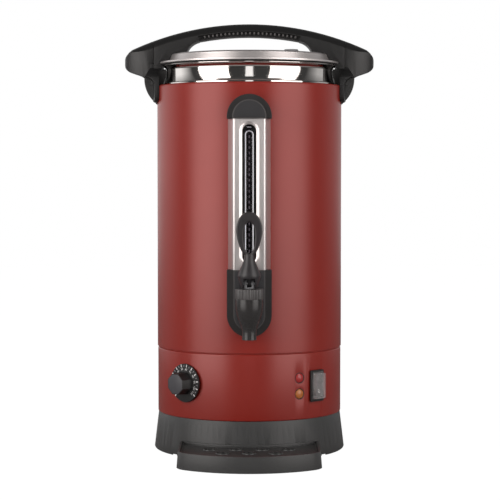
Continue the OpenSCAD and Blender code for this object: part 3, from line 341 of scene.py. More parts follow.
@dataclass(frozen=True)
class Steel:
    """Stainless steel, polished or brushed, with faint smears."""

    name: str
    colour: Colour
    roughness: float
    brush: Brush = Brush.POLISHED
    depth: float = 0.000004
    spread: float = 0.08
    smear: float = 22.0
    pits: float = 700.0
    grain: float = 5200.0
    grain_long: float = 45.0
    grain_rough: float = 0.16
    grain_share: float = 0.6
    darkest: float = 0.8

    def make(self) -> bpy.types.Material:
        """Builds the material.

        Returns:
            The material.
        """
        material, nodes = new_material(self.name)
        smear = nodes.noise(nodes.place(), self.smear, 4.0)
        rough = self.roughness + (smear - 0.5) * self.spread
        if self.brush is Brush.POLISHED:
            normal = nodes.bump(nodes.noise(nodes.place(), self.pits, 2.0), self.depth)
            shade = smear
        else:
            grain = nodes.noise(nodes.place((self.grain, self.grain, self.grain_long)), 1.0, 3.0)
            rough = rough + (grain - 0.5) * self.grain_rough
            normal = nodes.bump(grain, self.depth)
            shade = grain * self.grain_share + smear * (1 - self.grain_share)
        dark = tuple(level * self.darkest for level in self.colour)
        nodes.surface(
            {
                "Base Color": nodes.mix(shade, dark, self.colour),
                "Metallic": 1.0,
                "Roughness": rough.clamped(),
                "Normal": normal,
            }
        )
        return material


@dataclass(frozen=True)
class Plastic:
    """Moulded plastic with a spark-eroded grain and faint flow marks, and an optional glow that is painted
    light: it is no lamp.
    """

    name: str
    colour: Colour
    roughness: float
    grain: float = 1500.0
    depth: float = 0.00004
    pale: float = 1.25
    painted_emission: float = 0.0
    flow: float = 26.0
    flow_flat: float = 2.4
    flow_share: float = 0.7
    flow_rough: float = 0.1
    grain_rough: float = 0.14
    index: float = 1.5

    def make(self) -> bpy.types.Material:
        """Builds the material.

        Returns:
            The material.
        """
        material, nodes = new_material(self.name)
        grain = nodes.noise(nodes.place(), self.grain, 3.0)
        flow = nodes.noise(nodes.place((1.0, 1.0, self.flow_flat)), self.flow, 3.0)
        rough = self.roughness + (grain - 0.5) * self.grain_rough + (flow - 0.5) * self.flow_rough
        light = tuple(min(1.0, level * self.pale) for level in self.colour)
        nodes.surface(
            {
                "Base Color": nodes.mix(
                    flow * self.flow_share + grain * (1 - self.flow_share), self.colour, light
                ),
                "Roughness": rough.clamped(),
                "Normal": nodes.bump(grain, self.depth),
                "IOR": self.index,
                # Emission is painted light: where the glow is above 0 the plastic shines though it is no
                # lamp.
                "Emission Color": nodes.mix(flow, self.colour, light),
                "Emission Strength": self.painted_emission,
            }
        )
        return material


@dataclass(frozen=True)
class Clear:
    """Clear or tinted glass or plastic with faint ripples."""

    name: str
    colour: Colour
    roughness: float
    index: float = 1.47
    ripple: float = 60.0
    depth: float = 0.00001
    alpha: float = 1.0
    through: float = 1.0
    pale: float = 1.06
    ripple_rough: float = 0.04

    def make(self) -> bpy.types.Material:
        """Builds the material.

        Returns:
            The material.
        """
        material, nodes = new_material(self.name)
        ripple = nodes.noise(nodes.place(), self.ripple, 2.0)
        light = tuple(min(1.0, level * self.pale) for level in self.colour)
        nodes.surface(
            {
                "Base Color": nodes.mix(ripple, self.colour, light),
                "Roughness": (self.roughness + (ripple - 0.5) * self.ripple_rough).clamped(),
                "Normal": nodes.bump(ripple, self.depth),
                "Transmission Weight": self.through,
                "Alpha": self.alpha,
                "IOR": self.index,
            }
        )
        return material


FINISHES = {
    "painted_red": Paint(),
    "polished_steel": Steel("polished_steel", (0.78, 0.74, 0.71), 0.07, Brush.POLISHED, 0.000002, 0.04),
    "brushed_steel": Steel("brushed_steel", (0.76, 0.71, 0.7), 0.42, Brush.UPRIGHT),
    "zinc_steel": Steel("zinc_steel", (0.55, 0.56, 0.58), 0.38),
    "element_alloy": Steel("element_alloy", (0.42, 0.4, 0.38), 0.45),
    "copper_tube": Steel("copper_tube", (0.78, 0.42, 0.28), 0.3),
    "brass_nut": Steel("brass_nut", (0.72, 0.55, 0.28), 0.28),
    "black_plastic": Plastic("black_plastic", srgb(17, 16, 16), 0.44, 1500.0, 0.00003, 1.2),
    "charcoal_plastic": Plastic("charcoal_plastic", srgb(50, 50, 50), 0.46, 1800.0, 0.00005),
    # The grid's charcoal is darker than the tray's: painted shade of the recess it sits in.
    "grid_painted_shade_charcoal": Plastic("grid_painted_shade_charcoal", srgb(43, 43, 43), 0.4, 1800.0, 0.00004),
    "grey_plastic": Plastic("grey_plastic", srgb(118, 118, 120), 0.45),
    "ceramic_body": Plastic("ceramic_body", srgb(214, 208, 196), 0.6, 900.0),
    "black_rubber": Plastic("black_rubber", srgb(30, 30, 30), 0.75, 700.0, 0.00008),
    "moulded_black": Plastic("moulded_black", srgb(36, 34, 34), 0.28, 1800.0, 0.00002, 1.2),
    # One black plastic in three shades for the gauge caps: darker for painted shade on the band, lighter for
    # the painted-lit face, palest for a painted highlight line.
    "cap_black": Plastic("cap_black", srgb(30, 27, 27), 0.34, 1800.0, 0.00002, 1.2),
    "cap_grey": Plastic("cap_grey", srgb(41, 40, 42), 0.38, 1800.0, 0.00003, 1.15),
    "cap_line": Plastic("cap_line", srgb(62, 59, 59), 0.4),
    "nut_grey": Plastic("nut_grey", srgb(66, 63, 63), 0.4, 1800.0, 0.00003, 1.15),
    "grip_grey": Plastic("grip_grey", srgb(62, 61, 65), 0.42, 1800.0, 0.00004, 1.15),
    "lever_black": Plastic("lever_black", srgb(36, 33, 35), 0.38, 1800.0, 0.00003, 1.2),
    # A paler black for the grip ribs: a painted highlight where the ribs catch the light.
    "rib_painted_highlight_black": Plastic("rib_painted_highlight_black", srgb(74, 71, 71), 0.35),
    "white_print": Plastic("white_print", srgb(222, 220, 220), 0.45, 2200.0, 0.00001, 1.05),
    "grey_print": Plastic("grey_print", srgb(150, 145, 150), 0.45, 2200.0, 0.00001, 1.1),
    # Printed white line and grey scale of the gauge. Their glow is painted light, so that they read bright in
    # the channel's shade.
    "gauge_white_painted_light": Plastic("gauge_white_painted_light", srgb(235, 235, 238), 0.45, 2200.0, 0.00001, 1.05, 0.6),
    "gauge_grey_painted_light": Plastic("gauge_grey_painted_light", srgb(120, 113, 120), 0.45, 2200.0, 0.00001, 1.1, 0.5),
    "silicone": Plastic("silicone", srgb(70, 68, 66), 0.5, 500.0, 0.00002),
    "clear_glass": Clear("clear_glass", (0.34, 0.31, 0.35), 0.04, 1.06, 30.0, 0.000002, alpha=0.3),
    "clear_boot": Clear("clear_boot", (0.85, 0.8, 0.8), 0.08, 1.45, 240.0, 0.0001, alpha=0.28, through=0.72),
    "red_lens": Clear("red_lens", (0.5, 0.035, 0.035), 0.12, 1.49, 400.0, 0.00006, through=0.35),
    "amber_lens": Clear("amber_lens", (0.62, 0.2, 0.05), 0.12, 1.49, 400.0, 0.00006, through=0.35),
}


class Finishes:
    """The materials, each made once when it is first asked for."""

    def __init__(self) -> None:
        """Starts with none made."""
        self.made: dict[str, bpy.types.Material] = {}

    def get(self, slot: str) -> bpy.types.Material:
        """The material of a slot or look, made when it is first asked for.

        Args:
            slot: The slot's or look's name.

        Returns:
            The material.
        """
        if slot not in self.made:
            self.made[slot] = FINISHES[slot].make()
        return self.made[slot]

    def dress_nodes(self, nodes: dict[str, bpy.types.Object]) -> None:
        """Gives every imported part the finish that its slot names.

        Args:
            nodes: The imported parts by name.
        """
        for part in nodes.values():
            for slot in part.material_slots:
                slot.material = self.get(slot.material.name.split(".")[0])


# ------------------------------------------------------------------------------- modelling by hand


class Pick(Enum):
    """What is selected in edit mode."""

    FACES = "FACE"
    EDGES = "EDGE"
    VERTICES = "VERT"


def select_only(*pieces: bpy.types.Object) -> None:
    """Selects these objects and nothing else.

    Args:
        pieces: The objects. The first becomes the active one.
    """
    if bpy.context.mode != "OBJECT":
        bpy.ops.object.mode_set(mode="OBJECT")
    bpy.ops.object.select_all(action="DESELECT")
    for piece in pieces:
        piece.select_set(True)
    if pieces:
        bpy.context.view_layer.objects.active = pieces[0]


@contextmanager
def editing(piece: bpy.types.Object, kind: Pick = Pick.FACES) -> Iterator[None]:
    """Edit mode on one piece, with everything in it deselected at first.

    Args:
        piece: The piece.
        kind: What is going to be selected.

    Yields:
        Nothing.
    """
    select_only(piece)
    bpy.ops.object.mode_set(mode="EDIT")
    bpy.ops.mesh.select_mode(type=kind.value)
    bpy.ops.mesh.select_all(action="DESELECT")
    yield
    bpy.ops.object.mode_set(mode="OBJECT")


def pick(kind: Pick, test: Test) -> None:
    """Selects faces or vertices of the piece in edit mode by their place, and nothing else.

    Args:
        kind: Faces or vertices.
        test: Takes the place of a face's middle or of a vertex, and its normal.
    """
    mesh = bpy.context.object.data
    body = bmesh.from_edit_mesh(mesh)
    bpy.ops.mesh.select_all(action="DESELECT")
    if kind is Pick.FACES:
        for face in body.faces:
            if test(face.calc_center_median(), face.normal):
                face.select_set(True)
    else:
        for corner in body.verts:
            if test(corner.co, corner.normal):
                corner.select_set(True)
    bmesh.update_edit_mesh(mesh)


def modify(piece: bpy.types.Object, kind: str, **settings: object) -> None:
    """Adds a modifier and applies it.

    Args:
        piece: The piece.
        kind: The modifier's type.
        settings: The modifier's settings.
    """
    select_only(piece)
    modifier = piece.modifiers.new(kind.lower(), kind)
    for key, setting in settings.items():
        setattr(modifier, key, setting)
    bpy.ops.object.modifier_apply(modifier=modifier.name)


def smooth(piece: bpy.types.Object, degrees: float = 30.0) -> None:
    """Shades a piece smooth where its faces meet at less than an angle.

    Args:
        piece: The piece.
        degrees: The angle.
    """
    select_only(piece)
    bpy.ops.object.shade_smooth_by_angle(angle=math.radians(degrees))


def recalculate(piece: bpy.types.Object) -> None:
    """Merges doubled corners and turns every face outwards.

    Args:
        piece: The piece.
    """
    with editing(piece):
        bpy.ops.mesh.select_all(action="SELECT")
        bpy.ops.mesh.remove_doubles(threshold=SAME)
        bpy.ops.mesh.normals_make_consistent(inside=False)


def turned(name: str, profile: Sequence[Point], steps: int = 96) -> bpy.types.Object:
    """Turns a profile about the Z axis: a ring is added, then extruded and sized again and again.

    Args:
        name: The piece's name.
        profile: Radius and height of each ring. A radius of 0 closes an end at a point.
        steps: How many sides it has.

    Returns:
        The piece.
    """
    closed = profile[0][0] == 0
    if closed:
        profile = profile[1:]
    start_r, first_z = profile[0]
    select_only()
    bpy.ops.mesh.primitive_circle_add(vertices=steps, radius=start_r, location=(0, 0, first_z))
    piece = bpy.context.object
    bpy.ops.object.transform_apply(location=True)
    piece.name = name
    with editing(piece, Pick.VERTICES):
        bpy.ops.mesh.select_all(action="SELECT")
        radius, height = start_r, first_z
        for next_r, next_z in profile[1:]:
            move = {"value": (0, 0, next_z - height)}
            bpy.ops.mesh.extrude_region_move(TRANSFORM_OT_translate=move)
            if next_r == 0:
                bpy.ops.mesh.merge(type="CENTER")
                break
            size = next_r / radius
            bpy.ops.transform.resize(value=(size, size, 1), center_override=(0, 0, next_z))
            radius, height = next_r, next_z
        if closed:
            pick(Pick.VERTICES, lambda at, _: abs(at.z - first_z) < SAME and at.xy.length > start_r * 0.999)
            bpy.ops.mesh.edge_face_add()
    recalculate(piece)
    return piece


def plate(name: str, outline: Sequence[Point], depth: float) -> bpy.types.Object:
    """A flat outline in X and Z, extruded along +Y.

    Args:
        name: The piece's name.
        outline: The corners, in order.
        depth: How deep it is.

    Returns:
        The piece.
    """
    select_only()
    bpy.ops.mesh.primitive_circle_add(vertices=len(outline), radius=1, fill_type="NGON")
    piece = bpy.context.object
    piece.name = name
    for corner, (across, up) in zip(piece.data.vertices, outline):
        corner.co = (across, 0, up)
    with editing(piece):
        bpy.ops.mesh.select_all(action="SELECT")
        bpy.ops.mesh.extrude_region_move(TRANSFORM_OT_translate={"value": (0, depth, 0)})
        bpy.ops.mesh.select_all(action="SELECT")
        bpy.ops.mesh.normals_make_consistent(inside=False)
    return piece


def merged(node: bpy.types.Object, name: str) -> bpy.types.Object:
    """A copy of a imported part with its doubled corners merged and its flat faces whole.

    Args:
        node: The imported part.
        name: The copy's name.

    Returns:
        The copy.
    """
    piece = bpy.data.objects.new(name, node.data.copy())
    bpy.context.scene.collection.objects.link(piece)
    piece.data.materials.clear()
    with editing(piece):
        bpy.ops.mesh.select_all(action="SELECT")
        bpy.ops.mesh.remove_doubles(threshold=2 * SAME)
        bpy.ops.mesh.customdata_custom_splitnormals_clear()
        bpy.ops.mesh.dissolve_limited(angle_limit=math.radians(0.5))
    return piece


def rounded(piece: bpy.types.Object, width: float, degrees: float = 35.0) -> bpy.types.Object:
    """Rounds a piece's sharp edges and shades it smooth.

    Args:
        piece: The piece.
        width: The width of the rounding.
        degrees: How sharp an edge must be to be rounded.

    Returns:
        The piece.
    """
    modify(
        piece, "BEVEL", width=width, segments=3, limit_method="ANGLE", angle_limit=math.radians(degrees),
        use_clamp_overlap=True, harden_normals=False, miter_outer="MITER_ARC",
    )
    smooth(piece, 32.0)
    return piece


def slab(name: str, outline: Sequence[Point], low: float, high: float) -> bpy.types.Object:
    """A flat outline in X and Y, extruded upwards.

    Args:
        name: The piece's name.
        outline: The corners, in order.
        low: The height of its underside.
        high: The height of its top.

    Returns:
        The piece.
    """
    piece = plate(name, [(across, -along) for across, along in outline], high - low)
    return place(piece, Matrix.Translation((0, 0, low)) @ Matrix.Rotation(math.radians(90), 4, "X"))


def drum(name: str, low: Point, high: Point, at: Point = (0.0, 0.0), steps: int = 128) -> bpy.types.Object:
    """A round tool that cuts: a cylinder or a cone.

    Args:
        name: Its name.
        low: Its radius and height at the foot.
        high: Its radius and height at the top.
        at: Where its axis is.
        steps: How many sides it has.

    Returns:
        The tool.
    """
    select_only()
    bpy.ops.mesh.primitive_cone_add(
        vertices=steps, radius1=low[0], radius2=high[0], depth=high[1] - low[1],
        location=(*at, (low[1] + high[1]) / 2),
    )
    tool = bpy.context.object
    tool.name = name
    bpy.ops.object.transform_apply(location=True)
    return tool


def cut(piece: bpy.types.Object, *tools: bpy.types.Object, kind: str = "DIFFERENCE") -> bpy.types.Object:
    """Cuts tools out of a piece, or fuses them to it, and throws the tools away.

    Args:
        piece: The piece.
        tools: The tools.
        kind: DIFFERENCE cuts and UNION fuses.

    Returns:
        The piece.
    """
    for tool in tools:
        modify(piece, "BOOLEAN", operation=kind, solver="EXACT", object=tool)
        bpy.data.objects.remove(tool)
    return piece


def arc(centre: Point, radius: float, start: float, end: float, steps: int) -> list[Point]:
    """Points along an arc.

    Args:
        centre: Its centre.
        radius: Its radius.
        start: The angle in degrees at which it starts.
        end: The angle in degrees at which it ends.
        steps: How many steps it has.

    Returns:
        The points.
    """
    turns = [math.radians(start + (end - start) * step / steps) for step in range(steps + 1)]
    return [(centre[0] + radius * math.cos(turn), centre[1] + radius * math.sin(turn)) for turn in turns]


def place(piece: bpy.types.Object, matrix: Matrix) -> bpy.types.Object:
    """Moves a piece's mesh, while its object stays at the origin.

    Args:
        piece: The piece.
        matrix: Where its mesh goes, from where it is.

    Returns:
        The piece.
    """
    piece.data.transform(matrix)
    piece.data.update()
    return piece


def copied(piece: bpy.types.Object, name: str, matrix: Matrix) -> bpy.types.Object:
    """Copies a piece with a mesh of its own and moves the copy's mesh.

    Args:
        piece: The piece.
        name: The copy's name.
        matrix: Where the copy goes, from where the piece is.

    Returns:
        The copy.
    """
    twin = bpy.data.objects.new(name, piece.data.copy())
    bpy.context.scene.collection.objects.link(twin)
    return place(twin, matrix)


def joined(name: str, pieces: Sequence[bpy.types.Object]) -> bpy.types.Object:
    """Joins pieces into one.

    Args:
        name: The name of the whole.
        pieces: The pieces.

    Returns:
        The whole.
    """
    select_only(*pieces)
    bpy.ops.object.join()
    whole = bpy.context.object
    whole.name = name
    return whole


def block(name: str, low: Vector, high: Vector, edge: float, segments: int = 2) -> bpy.types.Object:
    """A small block with round edges, added at its place and size and then bevelled.

    Args:
        name: The piece's name.
        low: Its lowest corner.
        high: Its highest corner.
        edge: The rounding of its edges.
        segments: How many steps the rounding has.

    Returns:
        The piece.
    """
    select_only()
    bpy.ops.mesh.primitive_cube_add(size=1, location=(low + high) / 2, scale=high - low)
    piece = bpy.context.object
    piece.name = name
    bpy.ops.object.transform_apply(location=True, rotation=True, scale=True)
    with editing(piece, Pick.EDGES):
        bpy.ops.mesh.select_all(action="SELECT")
        bpy.ops.mesh.bevel(offset=edge, segments=segments, affect="EDGES")
    smooth(piece, 40.0)
    return piece


def lettering(name: str, words: str, height: float, matrix: Matrix) -> bpy.types.Object:
    """A numeral or mark that stands out a hair from what it is printed on.

    Args:
        name: The piece's name.
        words: The numeral or mark.
        height: The height of its line.
        matrix: Where it goes, from flat on the ground and facing up.

    Returns:
        The piece.
    """
    select_only()
    bpy.ops.object.text_add()
    text = bpy.context.object
    text.data.body = words
    text.data.size = height
    text.data.align_x = "CENTER"
    text.data.align_y = "CENTER"
    text.data.extrude = PRINT
    text.data.resolution_u = 4
    bpy.ops.object.convert(target="MESH")
    text.name = name
    return place(text, matrix)


def on_drum(degrees: float, height: float, radius: float) -> Matrix:
    """The place of a control: X to its right, Y up and Z out of the wall.

    Args:
        degrees: The control's angle from the front.
        height: Its height.
        radius: The wall's radius.

    Returns:
        The placing matrix.
    """
    turn = Matrix.Rotation(math.radians(degrees), 4, "Z")
    return turn @ Matrix.Translation((0, -radius, height)) @ Matrix.Rotation(math.radians(90), 4, "X")


def face_plate(
    piece: bpy.types.Object, name: str, front: Test, inset: float, depth: float
) -> bpy.types.Object:
    """Makes a thin plate that lies on a piece's own flat face.

    Args:
        piece: The piece.
        name: The plate's name.
        front: Says which of the piece's faces it covers.
        inset: How far the plate stays inside their outline.
        depth: Its thickness.

    Returns:
        The plate.
    """
    cover = copied(piece, name, Matrix())
    with editing(cover):
        pick(Pick.FACES, lambda at, facing: not front(at, facing))
        bpy.ops.mesh.delete(type="FACE")
        bpy.ops.mesh.select_all(action="SELECT")
        bpy.ops.mesh.dissolve_limited()
        if inset > 0:
            bpy.ops.mesh.inset(thickness=inset, depth=0)
            bpy.ops.mesh.select_all(action="INVERT")
            bpy.ops.mesh.delete(type="FACE")
    modify(cover, "SOLIDIFY", thickness=depth, offset=1.0)
    return rounded(cover, depth * 0.6)


@dataclass
class Kit:
    """What every sub-assembly works with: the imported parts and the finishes."""

    nodes: dict[str, bpy.types.Object]
    finishes: Finishes

    def finish(
        self, piece: bpy.types.Object, body: Body, slot: str, *replaced: str, look: str | None = None
    ) -> bpy.types.Object:
        """Dresses a piece and fixes it to its body.

        Args:
            piece: The piece.
            body: The body that it rides on.
            slot: The material slot that it belongs to.
            replaced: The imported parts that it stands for.
            look: The finish, where it isn't the slot's own.

        Returns:
            The piece.
        """
        piece.data.materials.clear()
        piece.data.materials.append(self.finishes.get(look or slot))
        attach(piece, body.value)
        if replaced:
            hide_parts(*replaced)
        LOG.info("%s: %d faces", piece.name, len(piece.data.polygons))
        return piece

    def slot_of(self, node: str) -> str:
        """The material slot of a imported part."""
        return self.nodes[node].material_slots[0].material.name.split(".")[0]

    def soften(
        self, node: str, name: str, body: Body, slot: str, edge: float, look: str | None = None
    ) -> bpy.types.Object:
        """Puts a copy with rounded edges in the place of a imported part.

        Args:
            node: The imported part.
            name: The copy's name.
            body: The body that it rides on.
            slot: The material slot that its finish comes from.
            edge: The rounding of its edges.
            look: The finish, where it isn't the slot's own.

        Returns:
            The copy.
        """
        return self.finish(rounded(merged(self.nodes[node], name), edge), body, slot, node, look=look)


# ------------------------------------------------------------------------------- studio


@dataclass
class Studio:
    """Floor, soft lamps and camera."""

    floor_half: float = 4.0
    floor_drop: float = 0.0002
    floor_grey: float = 0.42
    floor_white: float = 1.2
    floor_seen: float = 0.82
    eye: tuple[float, float, float] = (0.0008, -2.1105, 0.3303)
    pitch_down: float = 2.53
    lens: float = 126.55
    film: float = 36.0
    lamp_turn: float = 50.0
    lamp_away: float = 1.3
    lamp_wide: float = 1.05
    lamp_tall: float = 2.2
    lamp_z: float = 0.45
    left_power: float = 24.0
    right_power: float = 19.5
    fill: float = 0.22
    dark: float = 0.05
    back: float = 0.8
    back_lean: float = 0.45
    back_slope: float = 2.5
    back_start: float = 0.15
    back_tall: float = 1.6
    back_fade: float = 2.4
    overhead: float = 0.1
    overhead_slope: float = 4.0
    overhead_start: float = 2.6
    slit: float = 0.085
    slit_level: float = 1.25
    slit_high: float = 0.6
    lamp_colour: Colour = (1.0, 0.965, 0.94)

    def build(self) -> None:
        """Builds the floor, the lamps, the world and the camera."""
        self._floor()
        self._world()
        self._lamp(-1, self.left_power)
        self._lamp(1, self.right_power)
        self._camera()

    def _floor(self) -> None:
        """Adds the pale floor."""
        bpy.ops.mesh.primitive_plane_add(size=2 * self.floor_half, location=(0, 0, -self.floor_drop))
        floor = bpy.context.object
        floor.name = "floor"
        material, nodes = new_material("pale_floor")
        ray = nodes.add("ShaderNodeLightPath")
        matt = nodes.add("ShaderNodeBsdfDiffuse", None, {"Color": (self.floor_grey,) * 3})
        white = nodes.add("ShaderNodeEmission", None, {"Color": (1.0,) * 3, "Strength": self.floor_white})
        seen = Value(nodes, ray.outputs["Is Camera Ray"]) * self.floor_seen
        mixed = nodes.add("ShaderNodeMixShader", None, {0: seen, 1: matt.outputs[0], 2: white.outputs[0]})
        nodes.add("ShaderNodeOutputMaterial", None, {"Surface": mixed.outputs[0]})
        floor.data.materials.append(material)

    def _world(self) -> None:
        """Sets an even fill that looks white to the camera, in glass and at the back in gloss."""
        world = bpy.data.worlds.new("studio")
        bpy.context.scene.world = world
        nodes = Nodes(world)
        ray = nodes.add("ShaderNodeLightPath")
        facing = nodes.add("ShaderNodeTexCoord").outputs["Generated"]
        turn = nodes.add("ShaderNodeSeparateXYZ", None, {0: facing})
        across, along, up = (Value(nodes, turn.outputs[axis]) for axis in "XYZ")
        behind = (along * self.back_slope + self.back_start).clamped()
        behind = behind * (self.back_tall - self.back_fade * up.magnitude()).clamped()
        behind = behind * (1.0 - across * self.back_lean) * self.back
        slit = across.magnitude().below(self.slit) * along.below(0.0) * up.magnitude().below(self.slit_high)
        overhead = (up * self.overhead_slope - self.overhead_start).clamped() * self.overhead
        mirrored = behind + slit * self.slit_level + overhead + self.dark
        glossy = Value(nodes, ray.outputs["Is Glossy Ray"])
        camera, through = (Value(nodes, ray.outputs[f"Is {kind} Ray"]) for kind in ("Camera", "Transmission"))
        plain = (camera + through).clamped()
        strength = plain + (1.0 - plain) * (self.fill * (1.0 - glossy) + mirrored * glossy)
        shade = nodes.add("ShaderNodeBackground", None, {"Color": (1.0, 1.0, 1.0), "Strength": strength})
        nodes.add("ShaderNodeOutputWorld", None, {"Surface": shade.outputs[0]})

    def _lamp(self, side: int, power: float) -> None:
        """Adds one tall soft box.

        Args:
            side: -1 on the left and 1 on the right.
            power: Its power in watts.
        """
        turn = math.radians(self.lamp_turn) * side
        place = Vector((math.sin(turn) * self.lamp_away, -math.cos(turn) * self.lamp_away, self.lamp_z))
        bpy.ops.object.light_add(type="AREA", location=place)
        lamp = bpy.context.object
        lamp.data.shape = "RECTANGLE"
        lamp.data.size = self.lamp_wide
        lamp.data.size_y = self.lamp_tall
        lamp.data.energy = power
        lamp.data.color = self.lamp_colour
        lamp.rotation_euler = (math.radians(90), 0, turn)

    def _camera(self) -> None:
        """Adds the camera and the colour setting."""
        bpy.ops.object.camera_add(location=self.eye, rotation=(math.radians(90 - self.pitch_down), 0, 0))
        camera = bpy.context.object
        camera.data.lens = self.lens
        camera.data.sensor_width = self.film
        bpy.context.scene.camera = camera
        bpy.context.scene.view_settings.view_transform = "Standard"


# ------------------------------------------------------------------------------- sub-assemblies


@dataclass
class Shell:
    """The moulded base, the painted skirt and casing, and the tank's polished neck."""

    base_edge: float = 0.0004
    sheet_edge: float = 0.0003
    base_h: float = 0.045
    drawn_in: float = 0.0307

    def build(self, kit: Kit) -> None:
        """Draws the base in towards its foot and rounds the edges that show.

        Args:
            kit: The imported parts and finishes.
        """
        for node, name, slot in (
            ("base_shell", "moulded_base", "charcoal_plastic"),
            ("rubber_pads", "foot_pads", "black_rubber"),
            ("base_screws", "foot_screws", "zinc_steel"),
        ):
            piece = self._narrowed(merged(kit.nodes[node], name))
            kit.finish(rounded(piece, self.base_edge), Body.ROOT, slot, node)
        kit.soften("lower_skirt", "painted_skirt", Body.ROOT, "painted_red", self.sheet_edge)
        kit.soften("power_inlet", "inlet_socket", Body.ROOT, "black_plastic", self.base_edge)

    def _narrowed(self, piece: bpy.types.Object) -> bpy.types.Object:
        """Draws a piece of the base in, the more the lower it is.

        Args:
            piece: The piece.

        Returns:
            The piece.
        """
        corners = [corner.co.z for corner in piece.data.vertices]
        heights = sorted({round(height, 6) for height in corners if height < self.base_h})
        with editing(piece, Pick.VERTICES):
            for height in heights:
                pick(Pick.VERTICES, lambda at, _: abs(at.z - height) < SAME)
                size = 1 - self.drawn_in * (1 - height / self.base_h)
                bpy.ops.transform.resize(value=(size, size, 1), center_override=(0, 0, height))
        return piece


@dataclass
class Bow:
    """The carrying bow on the lid and the two ears that carry its ends on."""

    edge: float = 0.0006
    centre_z: float = 0.1725
    inner_r: float = 0.3192
    rib_pitch: float = 0.0049
    rib_first: float = -0.0530
    ribs: int = 23
    rib_wide: float = 0.0019
    rib_low: float = 0.0020
    rib_middle: float = 0.0030
    rib_high: float = 0.0048
    step_back: float = 0.0120
    step_front: float = 0.0172
    step_floor: float = 0.0125
    step_half: float = 0.0600
    step_tall: float = 0.0056
    step_below: float = 0.0020
    step_deep: float = 0.0200
    tongue_low: Point3 = (-0.1187, -0.0178, 0.4533)
    tongue_high: Point3 = (-0.1132, -0.0070, 0.4589)

    def build(self, kit: Kit) -> None:
        """Builds and dresses the bow, its ribs, its locking tongue and the ears.

        Args:
            kit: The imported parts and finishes.
        """
        bow = merged(kit.nodes["lid_handle"], "carrying_bow")
        for face in (-1, 1):
            cut(bow, self._step(face))
        kit.finish(rounded(bow, self.edge), Body.LID, "black_plastic", "lid_handle")
        for side in ("left", "right"):
            kit.soften(f"{side}_ear", f"{side}_bow_ear", Body.ROOT, "black_plastic", self.edge)
        # The ribs are in a paler black, a painted highlight of the light they catch.
        kit.finish(self._ribs(), Body.LID, "black_plastic", look="rib_painted_highlight_black")
        tongue = block("lock_tongue", Vector(self.tongue_low), Vector(self.tongue_high), self.edge)
        kit.finish(tongue, Body.LID, "black_plastic")

    def _step(self, face: int) -> bpy.types.Object:
        """The room of the step over the hand opening, on one face of the bow.

        Args:
            face: -1 at the front and 1 at the back.

        Returns:
            The room, as a tool that cuts.
        """
        middle = (0.0, self.centre_z)
        lean = math.degrees(self.step_half / self.inner_r)
        outline = arc(middle, self.inner_r - self.step_below, 90 - lean, 90 + lean, 16)
        outline += arc(middle, self.inner_r + self.step_tall, 90 + lean, 90 - lean, 16)
        tool = plate("bow_step", outline, self.step_deep)
        front = self.step_floor if face > 0 else -self.step_floor - self.step_deep
        return place(tool, Matrix.Translation((0, front, 0)))

    def _ribs(self) -> bpy.types.Object:
        """Makes one grip rib and copies it along the bow, in front and behind.

        Returns:
            All the ribs.
        """
        half = self.rib_wide / 2
        low = Vector((-half, -self.step_front, self.inner_r + self.rib_low))
        high = Vector((half, -self.step_back, self.inner_r + self.rib_high))
        rib = block("grip_rib", low, high, self.edge)
        copies = [rib]
        middle = Matrix.Translation((0, 0, self.centre_z))
        back = Matrix.Rotation(math.pi, 4, "Z")
        for index in range(self.ribs):
            turn = (self.rib_first + index * self.rib_pitch) / (self.inner_r + self.rib_middle)
            lean = middle @ Matrix.Rotation(turn, 4, "Y")
            copies.append(copied(rib, f"grip_rib_front_{index}", lean))
            copies.append(copied(rib, f"grip_rib_back_{index}", lean @ back))
        bpy.data.objects.remove(copies.pop(0))
        return joined("grip_ribs", copies)


@dataclass
class Lid:
    """The lid with its seal and steam vent."""

    edge: float = 0.0004
    vent_taller: float = 2.3

    def build(self, kit: Kit) -> None:
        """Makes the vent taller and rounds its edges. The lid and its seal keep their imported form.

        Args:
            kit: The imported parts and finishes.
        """
        vent = merged(kit.nodes["steam_vent"], "vent_cap")
        foot = min(corner.co.z for corner in vent.data.vertices)
        with editing(vent):
            bpy.ops.mesh.select_all(action="SELECT")
            bpy.ops.transform.resize(value=(1, 1, self.vent_taller), center_override=(0, 0, foot))
        kit.finish(rounded(vent, self.edge), Body.LID, "grey_plastic", "steam_vent")


